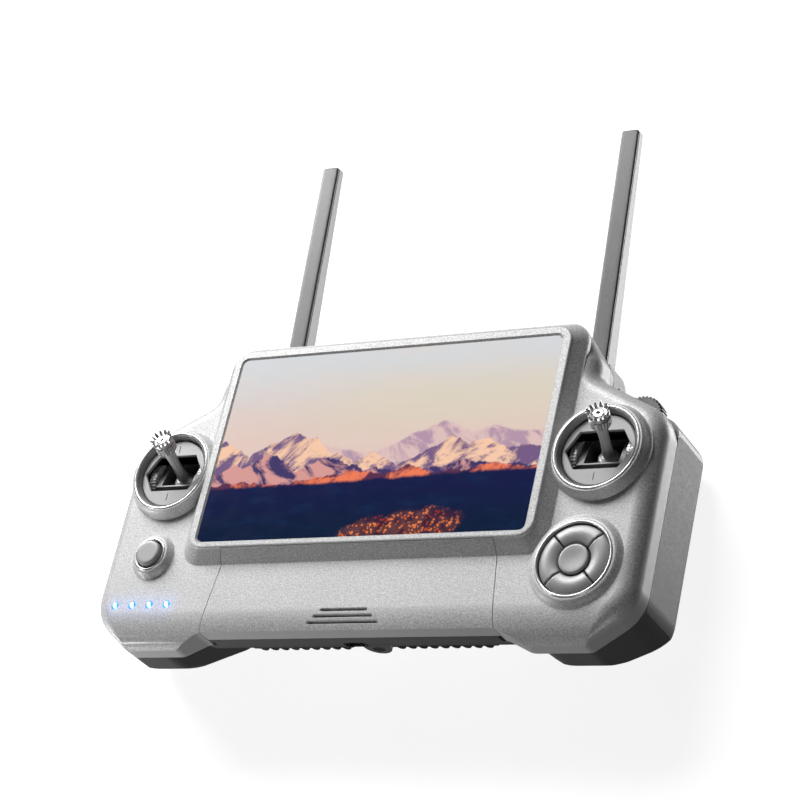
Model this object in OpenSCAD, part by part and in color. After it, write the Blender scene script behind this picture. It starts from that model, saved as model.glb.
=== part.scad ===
// Handheld radio transmitter with a built-in display, two stick gimbals and two folding antennas.
// Millimetres. The part lies on its back on its two grips: +X is the operator's right, +Y points
// along the antennas and +Z points out of the display. The plan origin is the middle of the whole.

/* [Body] */
// Width across the two grips
body_w = 254; // [252:1:258]
// Height of the display's surface above the plane that the grips rest on
screen_z = 53; // [52:0.5:54]
// Wall thickness of the moulded shells
wall = 2.2; // [2:0.1:2.4]
// Corner radius of the sides and the lower edges, seen from the front
edge_r = 7.5; // [6:0.5:8]

/* [Display] */
// Width of the lit area
display_w = 155; // [150:1:155]
// Height of the lit area
display_h = 87.2; // [84:0.2:87.2]
// Height of the raised bezel over the wings
bezel_rise = 5.5; // [5:0.1:6]

/* [Sticks] */
// Distance of each stick from the middle of the body
stick_x = 101.8; // [101:0.2:102.6]
// Depth of the stick's pivot below the display's surface
pivot_depth = 15; // [14.8:0.1:15.2]
// Length of a stick from its pivot to the tip of its cap
stick_len = 30; // [28:0.5:34]
// Lean of both sticks towards the antennas
lean_up = 16; // [0:1:20]
// Sideways lean of the left stick
lean_left_stick = 4; // [0:1:12]
// Sideways lean of the right stick
lean_right_stick = 11; // [0:1:12]

/* [Keys] */
// Radius of the bright ring around the direction keys
pad_ring_r = 16.5; // [16.3:0.1:16.7]
// Width of the gap between two keys
key_gap = 0.5; // [0.4:0.1:0.8]
// Radius of the power button's cap
power_r = 5.7; // [5.4:0.1:6]

/* [Antennas] */
// Distance of each antenna from the middle of the body
antenna_x = 76.1; // [75:0.5:77]
// Length from the hinge pin to the tip
antenna_len = 121.5; // [90:0.5:130]
// Forward lean of the raised antennas
antenna_lean = 6.8; // [0:0.2:7]

/* [Hidden] */
$fn = 64;

// Working frame: the origin is the middle of the display's surface, and depths are negative.
half_w = body_w / 2;
wing_z = -bezel_rise;
face_under = wing_z - wall;
parting_z = -19;
slab_back = -32;
grip_back = -screen_z;
grip_bottom_y = -88;
slab_bottom_y = -82.4;
hump_y = 55;
grip_x = 66;

stick_y = -8.5;
pad_pos = [100.2, -55.75];
power_pos = [-101.7, -47.7];
led_first = [-114.9, -70];
led_pitch = 8.9;

hinge_y = 38.5;
hinge_z = -39.3;
antenna_w = 8;
antenna_base_d = 9.8;
antenna_tip_d = 5.6;
tip_chamfer = 0.6;
antenna_tip_y = hinge_y + antenna_len * cos(antenna_lean)
    + (antenna_tip_d / 2 - tip_chamfer) * sin(antenna_lean);
origin_y = (antenna_tip_y + grip_bottom_y) / 2;

dial_r = 10;
dial_pos = [106, 16.3];
dial_z = -26;
shoulder_angle = 28.3;

// Right halves of the plan outlines, counter-clockwise: x, y and corner radius.
front_half = [
    [70, slab_bottom_y, 10], [82, grip_bottom_y, 8], [107.8, grip_bottom_y, 6],
    [half_w, -73.8, 17.4], [half_w, 9, 16], [92.5, 27.6, 6], [91.5, 37, 10], [79, hump_y, 10]
];
slab_half = [
    [72, slab_bottom_y, 3], [96, -60, 6], [96, 18, 6], [92.5, 27.6, 6], [91.5, 37, 10],
    [79, hump_y, 10]
];
// Outline of the right grip, whole.
grip_outline = [
    [90.7, grip_bottom_y, 8], [107.8, grip_bottom_y, 6], [half_w, -73.8, 17.4], [half_w, 9.5, 9],
    [92.5, 27.6, 5], [grip_x, 27.6, 8], [grip_x + 2, -72.8, 8]
];

// The grips' rear edges are rounded, and their lower ends slant up to the slab.
grip_across = 17.3;
grip_rise = 10.7;
grip_end_z = -37.5;
grip_slant = 1.23;
slab_across = 11;
slab_rise = 12.5;

bezel_foot = [85.9, -51.6, 50.8];
bezel_rim = [81.5, -46.4, 47.4];
bezel_corner_r = 7;

lug_y = -77;
lug_t = 3.2;
lug_r = 6.3;
eye_r = 2.2;
port_pos = [-0.7, -21];

case_screw_at = [[62.3, -55], [62.3, -5], [45, 40]];
rib_pitch = 5.05;
rib_first_x = 11.1;
rib_r = 1.9;
rib_count = 9;
sink_half_w = 58.5;
sink_y = [-78.4, 16];
tongue_half_w = 9;
tongue_y = -71;

// Moves a sub-part from the working frame to the part's own frame.
module place() {
    translate([0, -origin_y, screen_z]) children();
}

module on_stick(side) {
    place() translate([side * stick_x, stick_y, 0]) children();
}

module at_antenna(side) {
    place() translate([side * antenna_x, hinge_y, hinge_z]) rotate([antenna_lean, 0, 0])
        children();
}

function unit(v) = v / norm(v);
function left_of(v) = [-v[1], v[0]];
function mirrored(half) = [
    for (p = half) p,
    for (i = [len(half) - 1:-1:0]) [-half[i][0], half[i][1], half[i][2]]
];

// Points along one rounded corner of an outline that is moved inwards by d.
function corner(before, at, after, d, steps) =
    let (
        e1 = unit([at[0] - before[0], at[1] - before[1]]),
        e2 = unit([after[0] - at[0], after[1] - at[1]]),
        n1 = left_of(e1),
        n2 = left_of(e2),
        turn = atan2(cross(e1, e2), e1 * e2),
        s = sign(turn),
        r = max(0.2, at[2] - s * d),
        bisector = (n1 + n2) / (1 + n1 * n2),
        centre = [at[0], at[1]] + bisector * (d + s * r),
        start = atan2(-s * n1[1], -s * n1[0])
    )
    [for (i = [0:steps]) centre + r * [cos(start + turn * i / steps), sin(start + turn * i / steps)]];

function outline(points, d = 0, steps = 4) =
    let (n = len(points))
    [for (i = [0:n - 1]) each corner(points[(i + n - 1) % n], points[i], points[(i + 1) % n], d, steps)];

// A closed skin through rings of equal length, listed from the lowest to the highest.
module loft(rings) {
    n = len(rings[0]);
    last = len(rings) - 1;
    polyhedron(
        points = [for (ring = rings) each ring],
        faces = [
            [for (j = [0:n - 1]) j],
            [for (j = [n - 1:-1:0]) last * n + j],
            for (i = [0:last - 1]) for (j = [0:n - 1])
                let (k = (j + 1) % n)
                each [
                    [i * n + j, (i + 1) * n + j, (i + 1) * n + k],
                    [i * n + j, (i + 1) * n + k, i * n + k]
                ]
        ]
    );
}

function ring_at(points, z, d, steps = 4) = [for (p = outline(points, d, steps)) [p[0], p[1], z]];

// Rings of a body whose upper edge is rounded by r: from z0 up to z1.
function rounded_top(points, z0, z1, r, d) = [
    ring_at(points, z0, d),
    for (a = [0:18:90]) ring_at(points, z1 - r + r * sin(a), d + r * (1 - cos(a)))
];

// Rings of a body whose lower edge is rounded, wide by across and tall by rise.
function rounded_bottom(points, z0, z1, across, rise, d) = [
    for (a = [90:-15:0]) ring_at(points, z0 + rise - rise * sin(a), d + across * (1 - cos(a))),
    ring_at(points, z1, d)
];

// Long roll along the operator's edge of the front face, as points of a side profile.
roll_start_y = -72.6;
roll_reach = 15.6;
roll_drop = 8.5;
function roll(shift, last_angle) = [
    for (a = [90:-15:last_angle])
        [roll_start_y + shift - roll_reach * cos(a), wing_z - shift - roll_drop * (1 - sin(a))]
];

// Extrudes a side profile, given as y and z, across the width.
module across(width) {
    rotate([90, 0, 90]) translate([0, 0, -width / 2]) linear_extrude(width) children();
}

module below_roll(shift = 0) {
    across(body_w + 10) polygon(concat(
        [[90, wing_z + 20], [roll_start_y + shift + 2, wing_z + 20]],
        [[roll_start_y + shift + 2, wing_z - shift + 0.1]],
        roll(shift, 0),
        [[roll_start_y + shift - roll_reach, -70], [90, -70]]
    ));
}

module front_outer() {
    intersection() {
        loft(rounded_top(mirrored(front_half), parting_z, wing_z, edge_r, 0));
        below_roll();
    }
}

module front_inner() {
    intersection() {
        loft(rounded_top(mirrored(front_half), parting_z - 1, face_under, edge_r - wall, wall));
        below_roll(wall);
    }
}

function bezel_ring(half, r, z) =
    ring_at([[half[0], half[1], r], [half[0], half[2], r], [-half[0], half[2], r], [-half[0], half[1], r]],
        z, 0, 6);

module bezel_outer() {
    lip = 0.6;
    loft([
        bezel_ring(bezel_foot + [1, -1, 1], bezel_corner_r + 2, wing_z - 1.5),
        bezel_ring(bezel_foot, bezel_corner_r + 1.5, wing_z + 0.8),
        bezel_ring(bezel_rim + [lip, -lip, lip], bezel_corner_r + lip, -lip),
        bezel_ring(bezel_rim, bezel_corner_r, 0)
    ]);
}

// Raised round collar of the front shell, with a soft foot.
module collar(top_r, foot_r, top_z) {
    rotate_extrude() polygon([
        [0, wing_z - 1], [foot_r + 1, wing_z - 1], [(top_r + foot_r) / 2, wing_z + 0.9],
        [top_r, top_z], [0, top_z]
    ]);
}

module slots() {
    for (i = [0:2])
        translate([0, -74 - 2.6 * i, wing_z - 2])
            cube([2 * (10.9 + 2.8 * i), 0.9, 9], center = true);
}

module lower_panel_region(gap = 0) {
    translate([0, 0, parting_z - 1]) linear_extrude(-parting_z + 2)
        polygon([
            [-64.6 + gap, -46.8 - gap], [-70.6 + gap, -95], [70.6 - gap, -95], [64.6 - gap, -46.8 - gap]
        ]);
}

module display_cut() {
    cube([display_w + 0.4, display_h + 0.4, 3.2], center = true);
    translate([0, 0, -5]) cube([display_w - 2.4, display_h - 2.4, 12], center = true);
}

module collars() {
    for (side = [-1, 1]) translate([side * stick_x, stick_y, 0]) collar(19.6, 21, -1.2);
    translate([pad_pos[0], pad_pos[1], 0]) collar(17.4, 20.5, -3.2);
    translate([power_pos[0], power_pos[1], 0]) collar(8.4, 10.4, -2.6);
}

// Seats and openings of the gimbals, the direction pad, the power button and the lights.
module control_cuts() {
    for (side = [-1, 1]) translate([side * stick_x, stick_y, 0]) {
        translate([0, 0, -5]) cylinder(r = 18.75, h = 10);
        translate([0, 0, -10]) cylinder(r = 16.6, h = 10);
    }
    translate([pad_pos[0], pad_pos[1], -6.2]) cylinder(r = pad_ring_r + 0.05, h = 10);
    translate([pad_pos[0], pad_pos[1], -10]) cylinder(r = 15.3, h = 10);
    translate([power_pos[0], power_pos[1], -6.2]) cylinder(r = 7.7, h = 10);
    translate([power_pos[0], power_pos[1], -10]) cylinder(r = power_r + 0.6, h = 10);
    for (i = [0:3]) translate([led_first[0] + led_pitch * i, led_first[1], -10]) cylinder(r = 1.75, h = 10);
}

module front_shell() {
    color("silver") place() difference() {
        union() {
            difference() {
                front_outer();
                lower_panel_region();
            }
            difference() {
                bezel_outer();
                lower_panel_region();
            }
            collars();
        }
        front_inner();
        display_cut();
        control_cuts();
    }
}

module lower_panel() {
    inner_y = slab_bottom_y + wall;
    color("silver") place() difference() {
        intersection() {
            across(body_w) polygon(concat(
                [[-40, -0.4], [-46.8, -0.4], [bezel_foot[1], wing_z + 0.8], [bezel_foot[1] - 0.9, wing_z]],
                roll(0, 60),
                [[slab_bottom_y, -7.6], [slab_bottom_y, parting_z], [-40, parting_z]]
            ));
            lower_panel_region(0.15);
        }
        across(body_w + 2) polygon(concat(
            [[-30, face_under]],
            roll(wall, 60),
            [[inner_y, -9.8], [inner_y, parting_z - 1], [-30, parting_z - 1]]
        ));
        slots();
    }
}

function grip_rings(d, z_top, grow = 0) =
    rounded_bottom(grip_outline, grip_back + d, z_top, grip_across - d, grip_rise - d, d - grow);

// The same rings moved so that the rear face falls by slope along Y, through z at y.
function slanted(rings, slope, y, lift) =
    [for (ring = rings) [for (p = ring) [p[0], p[1], p[2] + lift - slope * (p[1] - y)]]];

module grip_loft(d, z_top) {
    lift = grip_end_z - grip_back + 0.6 * d;
    intersection() {
        loft(grip_rings(d, z_top));
        loft(slanted(grip_rings(d, z_top + 150, 0.6), grip_slant, grip_bottom_y, lift));
    }
}

module both_sides() {
    children();
    mirror([1, 0, 0]) children();
}

// Region of the right grip's outer wall that is a separate soft panel.
module grip_panel_region(gap = 0) {
    translate([100 + gap, -71 + gap, grip_back + 3])
        cube([40, 76 - 2 * gap, parting_z - grip_back - 3 - gap]);
}

module hinge_ears() {
    ear_r = 6.5;
    for (s = [-1, 1])
        translate([antenna_x + s * 7.9, hinge_y, hinge_z]) rotate([0, 90, 0]) {
            cylinder(r = ear_r, h = 3, center = true);
            translate([-9, 0, 0]) cube([18, 2 * ear_r, 3], center = true);
        }
}

module rear_shell() {
    color("dimgray") place() difference() {
        union() {
            loft(rounded_bottom(mirrored(slab_half), slab_back, parting_z, slab_across, slab_rise, 0));
            both_sides() {
                grip_loft(0, parting_z);
                hinge_ears();
            }
        }
        loft(rounded_bottom(mirrored(slab_half), slab_back + wall, parting_z + 1,
            slab_across - 2, slab_rise - 2, wall));
        both_sides() {
            grip_loft(wall, parting_z + 1);
            grip_panel_region();
            translate([antenna_x, hinge_y, hinge_z]) rotate([0, 90, 0])
                cylinder(r = 1.5, h = 24, center = true);
            translate([dial_pos[0], dial_pos[1], dial_z]) cylinder(r = dial_r + 0.6, h = 7.4, center = true);
            for (p = case_screw_at) translate([p[0], p[1], slab_back - 1]) {
                cylinder(r = 1.4, h = 5);
                cylinder(r = 2.7, h = 2.4);
            }
        }
        difference() {
            translate([0, (sink_y[0] + sink_y[1]) / 2, slab_back])
                cube([2 * sink_half_w, sink_y[1] - sink_y[0], 12], center = true);
            translate([-tongue_half_w, sink_y[0] - 1, slab_back - 7])
                cube([2 * tongue_half_w, tongue_y - sink_y[0] + 1, 14]);
        }
        translate([port_pos[0], slab_bottom_y, port_pos[1]]) cube([11.2, 12, 4.2], center = true);
        translate([-8, lug_y - 0.2, slab_back - 1]) cube([16, 5.8, 2.2]);
    }
}

module grip_panel() {
    intersection() {
        difference() {
            grip_loft(0, parting_z);
            grip_loft(wall, parting_z + 1);
        }
        grip_panel_region(0.15);
    }
}

module left_grip_panel() {
    color("gray") place() mirror([1, 0, 0]) grip_panel();
}

module right_grip_panel() {
    color("gray") place() grip_panel();
}

module heat_sink() {
    gap = 0.2;
    depth = sink_y[1] - sink_y[0] - 2 * gap;
    color("slategray") place() {
        difference() {
            union() {
                translate([0, (sink_y[0] + sink_y[1]) / 2, slab_back + 1])
                    cube([2 * (sink_half_w - gap), depth, 2], center = true);
                for (side = [-1, 1]) for (i = [0:rib_count - 1])
                    translate([side * (rib_first_x + rib_r + rib_pitch * i), sink_y[1] - gap, -33.1])
                        rotate([90, 0, 0]) cylinder(r = rib_r, h = depth, $fn = 32);
                translate([-18, -24, slab_back + 1]) cube([36, 36, 13.8]);
            }
            translate([-tongue_half_w - 0.2, sink_y[0] - 1, slab_back - 1])
                cube([2 * tongue_half_w + 0.4, tongue_y - sink_y[0] + 1.2, 5]);
        }
    }
}

module strap_lug() {
    color("dimgray") place() difference() {
        union() {
            translate([0, lug_y + lug_t, -35]) rotate([90, 0, 0]) cylinder(r = lug_r, h = lug_t);
            translate([-lug_r, lug_y, -35]) cube([2 * lug_r, lug_t, 4.1]);
            translate([-7.8, lug_y, slab_back]) cube([15.6, 5.4, 1.1]);
        }
        translate([0, lug_y + 10, -37.4]) rotate([90, 0, 0]) cylinder(r = eye_r, h = 20);
        translate([-lug_r - 1, lug_y - 1, -30.9]) cube([2 * lug_r + 2, 20, 9]);
    }
}

module mid_frame() {
    color("darkgray") place() difference() {
        union() {
            translate([-79, -45, -9.2]) cube([158, 90, 1.2]);
            both_sides() for (p = case_screw_at) if (p[1] > -50)
                translate([p[0], p[1], slab_back + wall + 0.1]) cylinder(r = 3.2, h = 21.4);
            both_sides() translate([case_screw_at[0][0], case_screw_at[0][1], slab_back + wall + 0.1])
                cylinder(r = 3.2, h = 21.4);
            both_sides() translate([59, -58, -9.2]) cube([8, 14, 1.2]);
        }
        both_sides() for (p = case_screw_at)
            translate([p[0], p[1], slab_back]) cylinder(r = 1.1, h = 16);
        translate([-30, -30, -10]) cube([60, 50, 3]);
    }
}

module display_glass() {
    color([0.1, 0.15, 0.3]) place()
        translate([0, 0, -0.9]) cube([display_w, display_h, 1.2], center = true);
}

module display_panel() {
    color("black") place() translate([0, 0, -3.1])
        cube([display_w - 3, display_h - 3, 3.1], center = true);
}

module main_board() {
    color("darkgreen") place() {
        difference() {
            translate([-56, -42, -15]) cube([112, 78, 1.6]);
            both_sides() for (y = [-37, 31]) translate([52, y, -16]) cylinder(r = 1.6, h = 4);
        }
        translate([-18, -24, -17]) cube([36, 36, 2]);
        translate([24, -30, -13.4]) cube([24, 18, 1.8]);
        translate([-46, 2, -13.4]) cube([22, 22, 1.8]);
        translate([28, 4, -13.4]) cube([12, 16, 2.6]);
        both_sides() for (y = [-37, 31]) translate([52, y, -13.4]) difference() {
            cylinder(r = 2.6, h = 4.2);
            translate([0, 0, -1]) cylinder(r = 1.2, h = 6);
        }
    }
}

module radio_module() {
    color("silver") place() {
        translate([-36, 39, -20]) cube([72, 13, 1.2]);
        translate([-32, 40, -18.8]) cube([28, 11, 3]);
        translate([4, 40, -18.8]) cube([28, 11, 3]);
    }
}

module coax_leads() {
    color("black") place() both_sides()
        translate([36.8, 45, -17.6]) rotate([0, 107.5, 0]) cylinder(r = 0.7, h = 35.6);
}

module speaker() {
    color("black") place() translate([0, -66, -12.8]) {
        cylinder(r = 9, h = 3);
        cylinder(r = 6, h = 4.2);
    }
}

module usb_port() {
    color("silver") place() {
        translate([port_pos[0], -81.9, port_pos[1]]) rotate([-90, 0, 0]) difference() {
            slot_prism(9.2, 1.6, 7);
            translate([0, 0, -1]) slot_prism(8.8, 1.2, 6);
        }
        translate([port_pos[0] - 3, -80.8, port_pos[1] - 0.3]) cube([6, 6, 0.6]);
    }
}

// Slot-shaped prism: overall width w, half height r, length h.
module slot_prism(w, r, h) {
    for (s = [-1, 1]) translate([s * (w / 2 - r), 0, 0]) cylinder(r = r, h = h);
    translate([-(w / 2 - r), -r, 0]) cube([w - 2 * r, 2 * r, h]);
}

module battery_cells() {
    color("royalblue") place() both_sides() for (x = [84, 104])
        translate([x, -7, -40]) rotate([90, 0, 0]) {
            cylinder(r = 9.1, h = 64.2);
            cylinder(r = 3, h = 65);
        }
}

module battery_holders() {
    color("black") place() both_sides() for (y = [-74.2, -7])
        translate([y < -70 ? 80 : 75, y, -46]) cube([y < -70 ? 28 : 36, 2, 13]);
}

module case_screws() {
    color("dimgray") place() both_sides() for (p = case_screw_at)
        translate([p[0], p[1], slab_back]) difference() {
            union() {
                cylinder(r = 2.4, h = 1.3);
                cylinder(r = 1.05, h = 12);
            }
            translate([0, 0, -0.1]) cylinder(r = 1.1, h = 0.9, $fn = 6);
        }
}

module led_lenses() {
    color("deepskyblue") place() for (i = [0:3])
        translate([led_first[0] + led_pitch * i, led_first[1], face_under - 0.8])
            cylinder(r = 1.7, h = wall + 0.9);
}

// Bright trim ring: its lip stands at top_z.
module trim_ring(inner_r, outer_r, bottom_z, top_z) {
    soft = 0.3;
    rotate_extrude() polygon([
        [inner_r, bottom_z], [outer_r, bottom_z], [outer_r, top_z - soft],
        [outer_r - soft, top_z], [inner_r + soft, top_z], [inner_r, top_z - soft]
    ]);
}

module power_ring() {
    color("lightgray") place() translate([power_pos[0], power_pos[1], 0])
        trim_ring(power_r + 0.7, 7.65, -6.2, -2.2);
}

module power_button() {
    color("gray") place() translate([power_pos[0], power_pos[1], 0])
        rotate_extrude() polygon([
            [0, -8.2], [power_r, -8.2], [power_r, -1.2], [power_r - 0.6, -0.6], [0, -0.5]
        ]);
}

module power_board() {
    color("darkgreen") place() {
        translate([-116.5, -73, -11.4]) cube([32.5, 34, 1.4]);
        translate([power_pos[0] - 3, power_pos[1] - 3, -10]) cube([6, 6, 0.8]);
    }
}

module pad_ring() {
    color("lightgray") place() translate([pad_pos[0], pad_pos[1], 0])
        trim_ring(15.3, pad_ring_r, -6.2, -2.8);
}

module pad_mat() {
    color("darkslategray") place() translate([pad_pos[0], pad_pos[1], -9.5]) difference() {
        cylinder(r = 17, h = 0.9);
        for (a = [45:90:315]) rotate([0, 0, a]) translate([15, 0, -1]) cylinder(r = 0.8, h = 3);
    }
}

module key_board() {
    color("darkgreen") place() translate([pad_pos[0], pad_pos[1], -11])
        difference() {
            cylinder(r = 18.5, h = 1.4);
            for (a = [45:90:315]) rotate([0, 0, a]) translate([15, 0, -1]) cylinder(r = 0.8, h = 4);
        }
}

// One of the four dished direction keys, pointing at angle a.
module direction_key(a) {
    inner_r = 6.9;
    outer_r = 15;
    dish = [
        for (i = [0:6]) let (t = i / 6)
            [inner_r + (outer_r - inner_r) * t, -3.5 + 0.6 * t - 1.1 * sin(180 * t)]
    ];
    color("gray") place() translate([pad_pos[0], pad_pos[1], 0]) rotate([0, 0, a]) intersection() {
        rotate_extrude() polygon(concat([[outer_r, -7.6], [inner_r, -7.6]], dish));
        translate([0, 0, -9]) linear_extrude(9)
            polygon([[key_gap / sqrt(2), 0], [20, 20 - key_gap / sqrt(2)], [20, key_gap / sqrt(2) - 20]]);
    }
}

module key_up() {
    direction_key(90);
}

module key_down() {
    direction_key(270);
}

module key_left() {
    direction_key(180);
}

module key_right() {
    direction_key(0);
}

module key_center() {
    color("darkgray") place() translate([pad_pos[0], pad_pos[1], 0])
        rotate_extrude() polygon([
            [0, -7.6], [6.4, -7.6], [6.4, -3.5], [6, -3.1], [3, -2.75], [0, -2.6]
        ]);
}

// Gimbal pieces, drawn around the stick's plan position.
frame_half = [17.5, 12.8];
cavity_half = [14.4, 10.8];
trunnion_r = 2;
ball_r = 5.4;
axle_r = 1.2;
running_gap = 0.05;

module gimbal_ring() {
    trim_ring(17.1, 18.7, -5, -0.9);
}

module gimbal_plate() {
    difference() {
        translate([0, 0, -4.7]) cylinder(r = 15.9, h = 1.2);
        translate([0, 0, -6]) linear_extrude(5)
            polygon([[-9.5, -8.2], [9.5, -8.2], [14.6, 0], [9.5, 8.2], [-9.5, 8.2], [-14.6, 0]]);
        for (s = [-1, 1]) translate([-0.2, s * 11.6 - 1.8, -3.8]) cube([0.4, 3.6, 1]);
    }
}

module gimbal_frame() {
    difference() {
        union() {
            translate([-frame_half[0], -frame_half[1], -28])
                cube([2 * frame_half[0], 2 * frame_half[1], 20.1]);
            translate([0, 0, -9]) cylinder(r = 16.3, h = 4.3);
        }
        translate([-cavity_half[0], -cavity_half[1], -26.5])
            cube([2 * cavity_half[0], 2 * cavity_half[1], 30]);
        translate([0, 0, -pivot_depth]) rotate([0, 90, 0])
            cylinder(r = trunnion_r + running_gap, h = 50, center = true);
    }
}

module tilted_yoke() {
    translate([0, 0, -pivot_depth]) rotate([-lean_up, 0, 0]) children();
}

module yoke() {
    tilted_yoke() difference() {
        rotate([90, 0, 90]) translate([0, 0, -10.6]) linear_extrude(21.2)
            polygon([[-7.6, -5], [-5.6, -7], [5.6, -7], [7.6, -5], [7.6, 5], [6.6, 6.5], [-6.6, 6.5], [-7.6, 5]]);
        translate([-7.6, -5.8, -10]) cube([15.2, 11.6, 20]);
        rotate([90, 0, 0]) cylinder(r = axle_r + running_gap, h = 20, center = true);
    }
}

module drums() {
    tilted_yoke() for (s = [-1, 1]) rotate([0, s * 90, 0]) {
        translate([0, 0, 10.6]) difference() {
            cylinder(r = 9.3, h = 3.3);
            for (a = [0:15:345]) rotate([0, 0, a]) translate([9.5, 0, 0.6]) cylinder(r = 0.6, h = 3);
        }
        translate([0, 0, 13.9]) cylinder(r = trunnion_r, h = 3.2);
    }
}

module leaned_stick(lean) {
    tilted_yoke() rotate([0, lean, 0]) children();
}

module stick_ball(lean) {
    leaned_stick(lean) {
        difference() {
            sphere(r = ball_r);
            translate([0, 0, 4.6]) cylinder(r = 4, h = 4);
        }
        rotate([90, 0, 0]) cylinder(r = axle_r, h = 15, center = true);
    }
}

module stick_shaft(lean) {
    leaned_stick(lean) rotate_extrude() polygon([
        [0, 4.6], [2.5, 4.6], [2.2, 8], [2.05, 13], [2.2, 17], [2.7, stick_len - 8.6],
        [0, stick_len - 8.6]
    ]);
}

// Knurled cap with a crown of teeth round a hollow top.
module stick_cap(lean) {
    top = stick_len;
    leaned_stick(lean) difference() {
        rotate_extrude() polygon([
            [0, top - 8.6], [2.9, top - 8.6], [4.3, top - 7.6], [4.3, top - 4], [3.7, top - 3.4],
            [3.9, top - 2.4], [5, top - 0.2], [4.6, top], [2.9, top - 1.9], [0, top - 1.9]
        ]);
        for (a = [0:30:330]) rotate([0, 0, a]) translate([3.2, -0.55, top - 1.9]) cube([3, 1.1, 3]);
        for (a = [0:15:345]) rotate([0, 0, a]) translate([4.45, 0, top - 8]) cylinder(r = 0.3, h = 4.4);
        translate([0, 0, top - 3.2]) cylinder(r = 1.1, h = 2, $fn = 6);
    }
}

module left_gimbal_ring() {
    color("lightgray") on_stick(-1) gimbal_ring();
}

module right_gimbal_ring() {
    color("lightgray") on_stick(1) gimbal_ring();
}

module left_gimbal_plate() {
    color("silver") on_stick(-1) gimbal_plate();
}

module right_gimbal_plate() {
    color("silver") on_stick(1) gimbal_plate();
}

module left_gimbal_frame() {
    color([0.2, 0.2, 0.2]) on_stick(-1) gimbal_frame();
}

module right_gimbal_frame() {
    color([0.2, 0.2, 0.2]) on_stick(1) gimbal_frame();
}

module left_yoke() {
    color([0.15, 0.15, 0.15]) on_stick(-1) yoke();
}

module right_yoke() {
    color([0.15, 0.15, 0.15]) on_stick(1) yoke();
}

module left_drums() {
    color("silver") on_stick(-1) drums();
}

module right_drums() {
    color("silver") on_stick(1) drums();
}

module left_stick_ball() {
    color("silver") on_stick(-1) stick_ball(lean_left_stick);
}

module right_stick_ball() {
    color("silver") on_stick(1) stick_ball(lean_right_stick);
}

module left_stick_shaft() {
    color("gray") on_stick(-1) stick_shaft(lean_left_stick);
}

module right_stick_shaft() {
    color("gray") on_stick(1) stick_shaft(lean_right_stick);
}

module left_stick_cap() {
    color("silver") on_stick(-1) stick_cap(lean_left_stick);
}

module right_stick_cap() {
    color("silver") on_stick(1) stick_cap(lean_right_stick);
}

// Shoulder dial: a grooved wheel on an encoder's axle.
module dial(side) {
    place() translate([side * dial_pos[0], dial_pos[1], dial_z]) difference() {
        cylinder(r = dial_r, h = 6, center = true);
        for (a = [0:12:348]) rotate([0, 0, a]) translate([dial_r + 0.2, 0, 0])
            cylinder(r = 0.55, h = 8, center = true, $fn = 16);
        cylinder(r = axle_r + running_gap, h = 8, center = true);
    }
}

module dial_encoder(side) {
    place() translate([side * dial_pos[0], dial_pos[1], 0]) {
        rotate([0, 0, -side * shoulder_angle]) translate([-5, -11.4, -35]) cube([10, 11.6, 5.4]);
        translate([0, 0, -30]) cylinder(r = axle_r, h = 7.5);
    }
}

module left_dial() {
    color("darkgray") dial(-1);
}

module right_dial() {
    color("darkgray") dial(1);
}

module left_dial_encoder() {
    color("black") dial_encoder(-1);
}

module right_dial_encoder() {
    color("black") dial_encoder(1);
}

// Antenna blade: a slim bar that gets thinner towards a blunt tip.
module blade() {
    chamfer = 0.8;
    function section(w, d, y) = [
        for (q = [
            [w / 2 - chamfer, -d / 2], [w / 2, -d / 2 + chamfer], [w / 2, d / 2 - chamfer],
            [w / 2 - chamfer, d / 2], [-w / 2 + chamfer, d / 2], [-w / 2, d / 2 - chamfer],
            [-w / 2, -d / 2 + chamfer], [-w / 2 + chamfer, -d / 2]
        ]) [q[0], y, q[1]]
    ];
    loft([
        section(antenna_w - 2 * tip_chamfer, antenna_tip_d - 2 * tip_chamfer, antenna_len),
        section(antenna_w, antenna_tip_d, antenna_len - tip_chamfer),
        section(antenna_w, antenna_base_d, 7)
    ]);
}

module knuckle() {
    difference() {
        union() {
            rotate([0, 90, 0]) cylinder(r = 6, h = 12, center = true);
            translate([-antenna_w / 2, 0, -antenna_base_d / 2]) cube([antenna_w, 7, antenna_base_d]);
        }
        rotate([0, 90, 0]) cylinder(r = 1.55, h = 14, center = true);
    }
}

module hinge_pin() {
    rotate([0, 90, 0]) cylinder(r = 1.5, h = 18, center = true);
}

module left_antenna() {
    color("dimgray") at_antenna(-1) blade();
}

module right_antenna() {
    color("dimgray") at_antenna(1) blade();
}

module left_antenna_knuckle() {
    color("dimgray") at_antenna(-1) knuckle();
}

module right_antenna_knuckle() {
    color("dimgray") at_antenna(1) knuckle();
}

module left_hinge_pin() {
    color("silver") at_antenna(-1) hinge_pin();
}

module right_hinge_pin() {
    color("silver") at_antenna(1) hinge_pin();
}

front_shell();
lower_panel();
rear_shell();
left_grip_panel();
right_grip_panel();
heat_sink();
strap_lug();
mid_frame();
display_glass();
display_panel();
main_board();
radio_module();
coax_leads();
speaker();
usb_port();
battery_cells();
battery_holders();
case_screws();
led_lenses();
power_ring();
power_board();
power_button();
pad_ring();
pad_mat();
key_board();
key_up();
key_down();
key_left();
key_right();
key_center();
left_gimbal_ring();
left_gimbal_plate();
left_gimbal_frame();
left_yoke();
left_drums();
left_stick_ball();
left_stick_shaft();
left_stick_cap();
right_gimbal_ring();
right_gimbal_plate();
right_gimbal_frame();
right_yoke();
right_drums();
right_stick_ball();
right_stick_shaft();
right_stick_cap();
left_dial();
right_dial();
left_dial_encoder();
right_dial_encoder();
left_antenna();
left_antenna_knuckle();
left_hinge_pin();
right_antenna();
right_antenna_knuckle();
right_hinge_pin();
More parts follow.
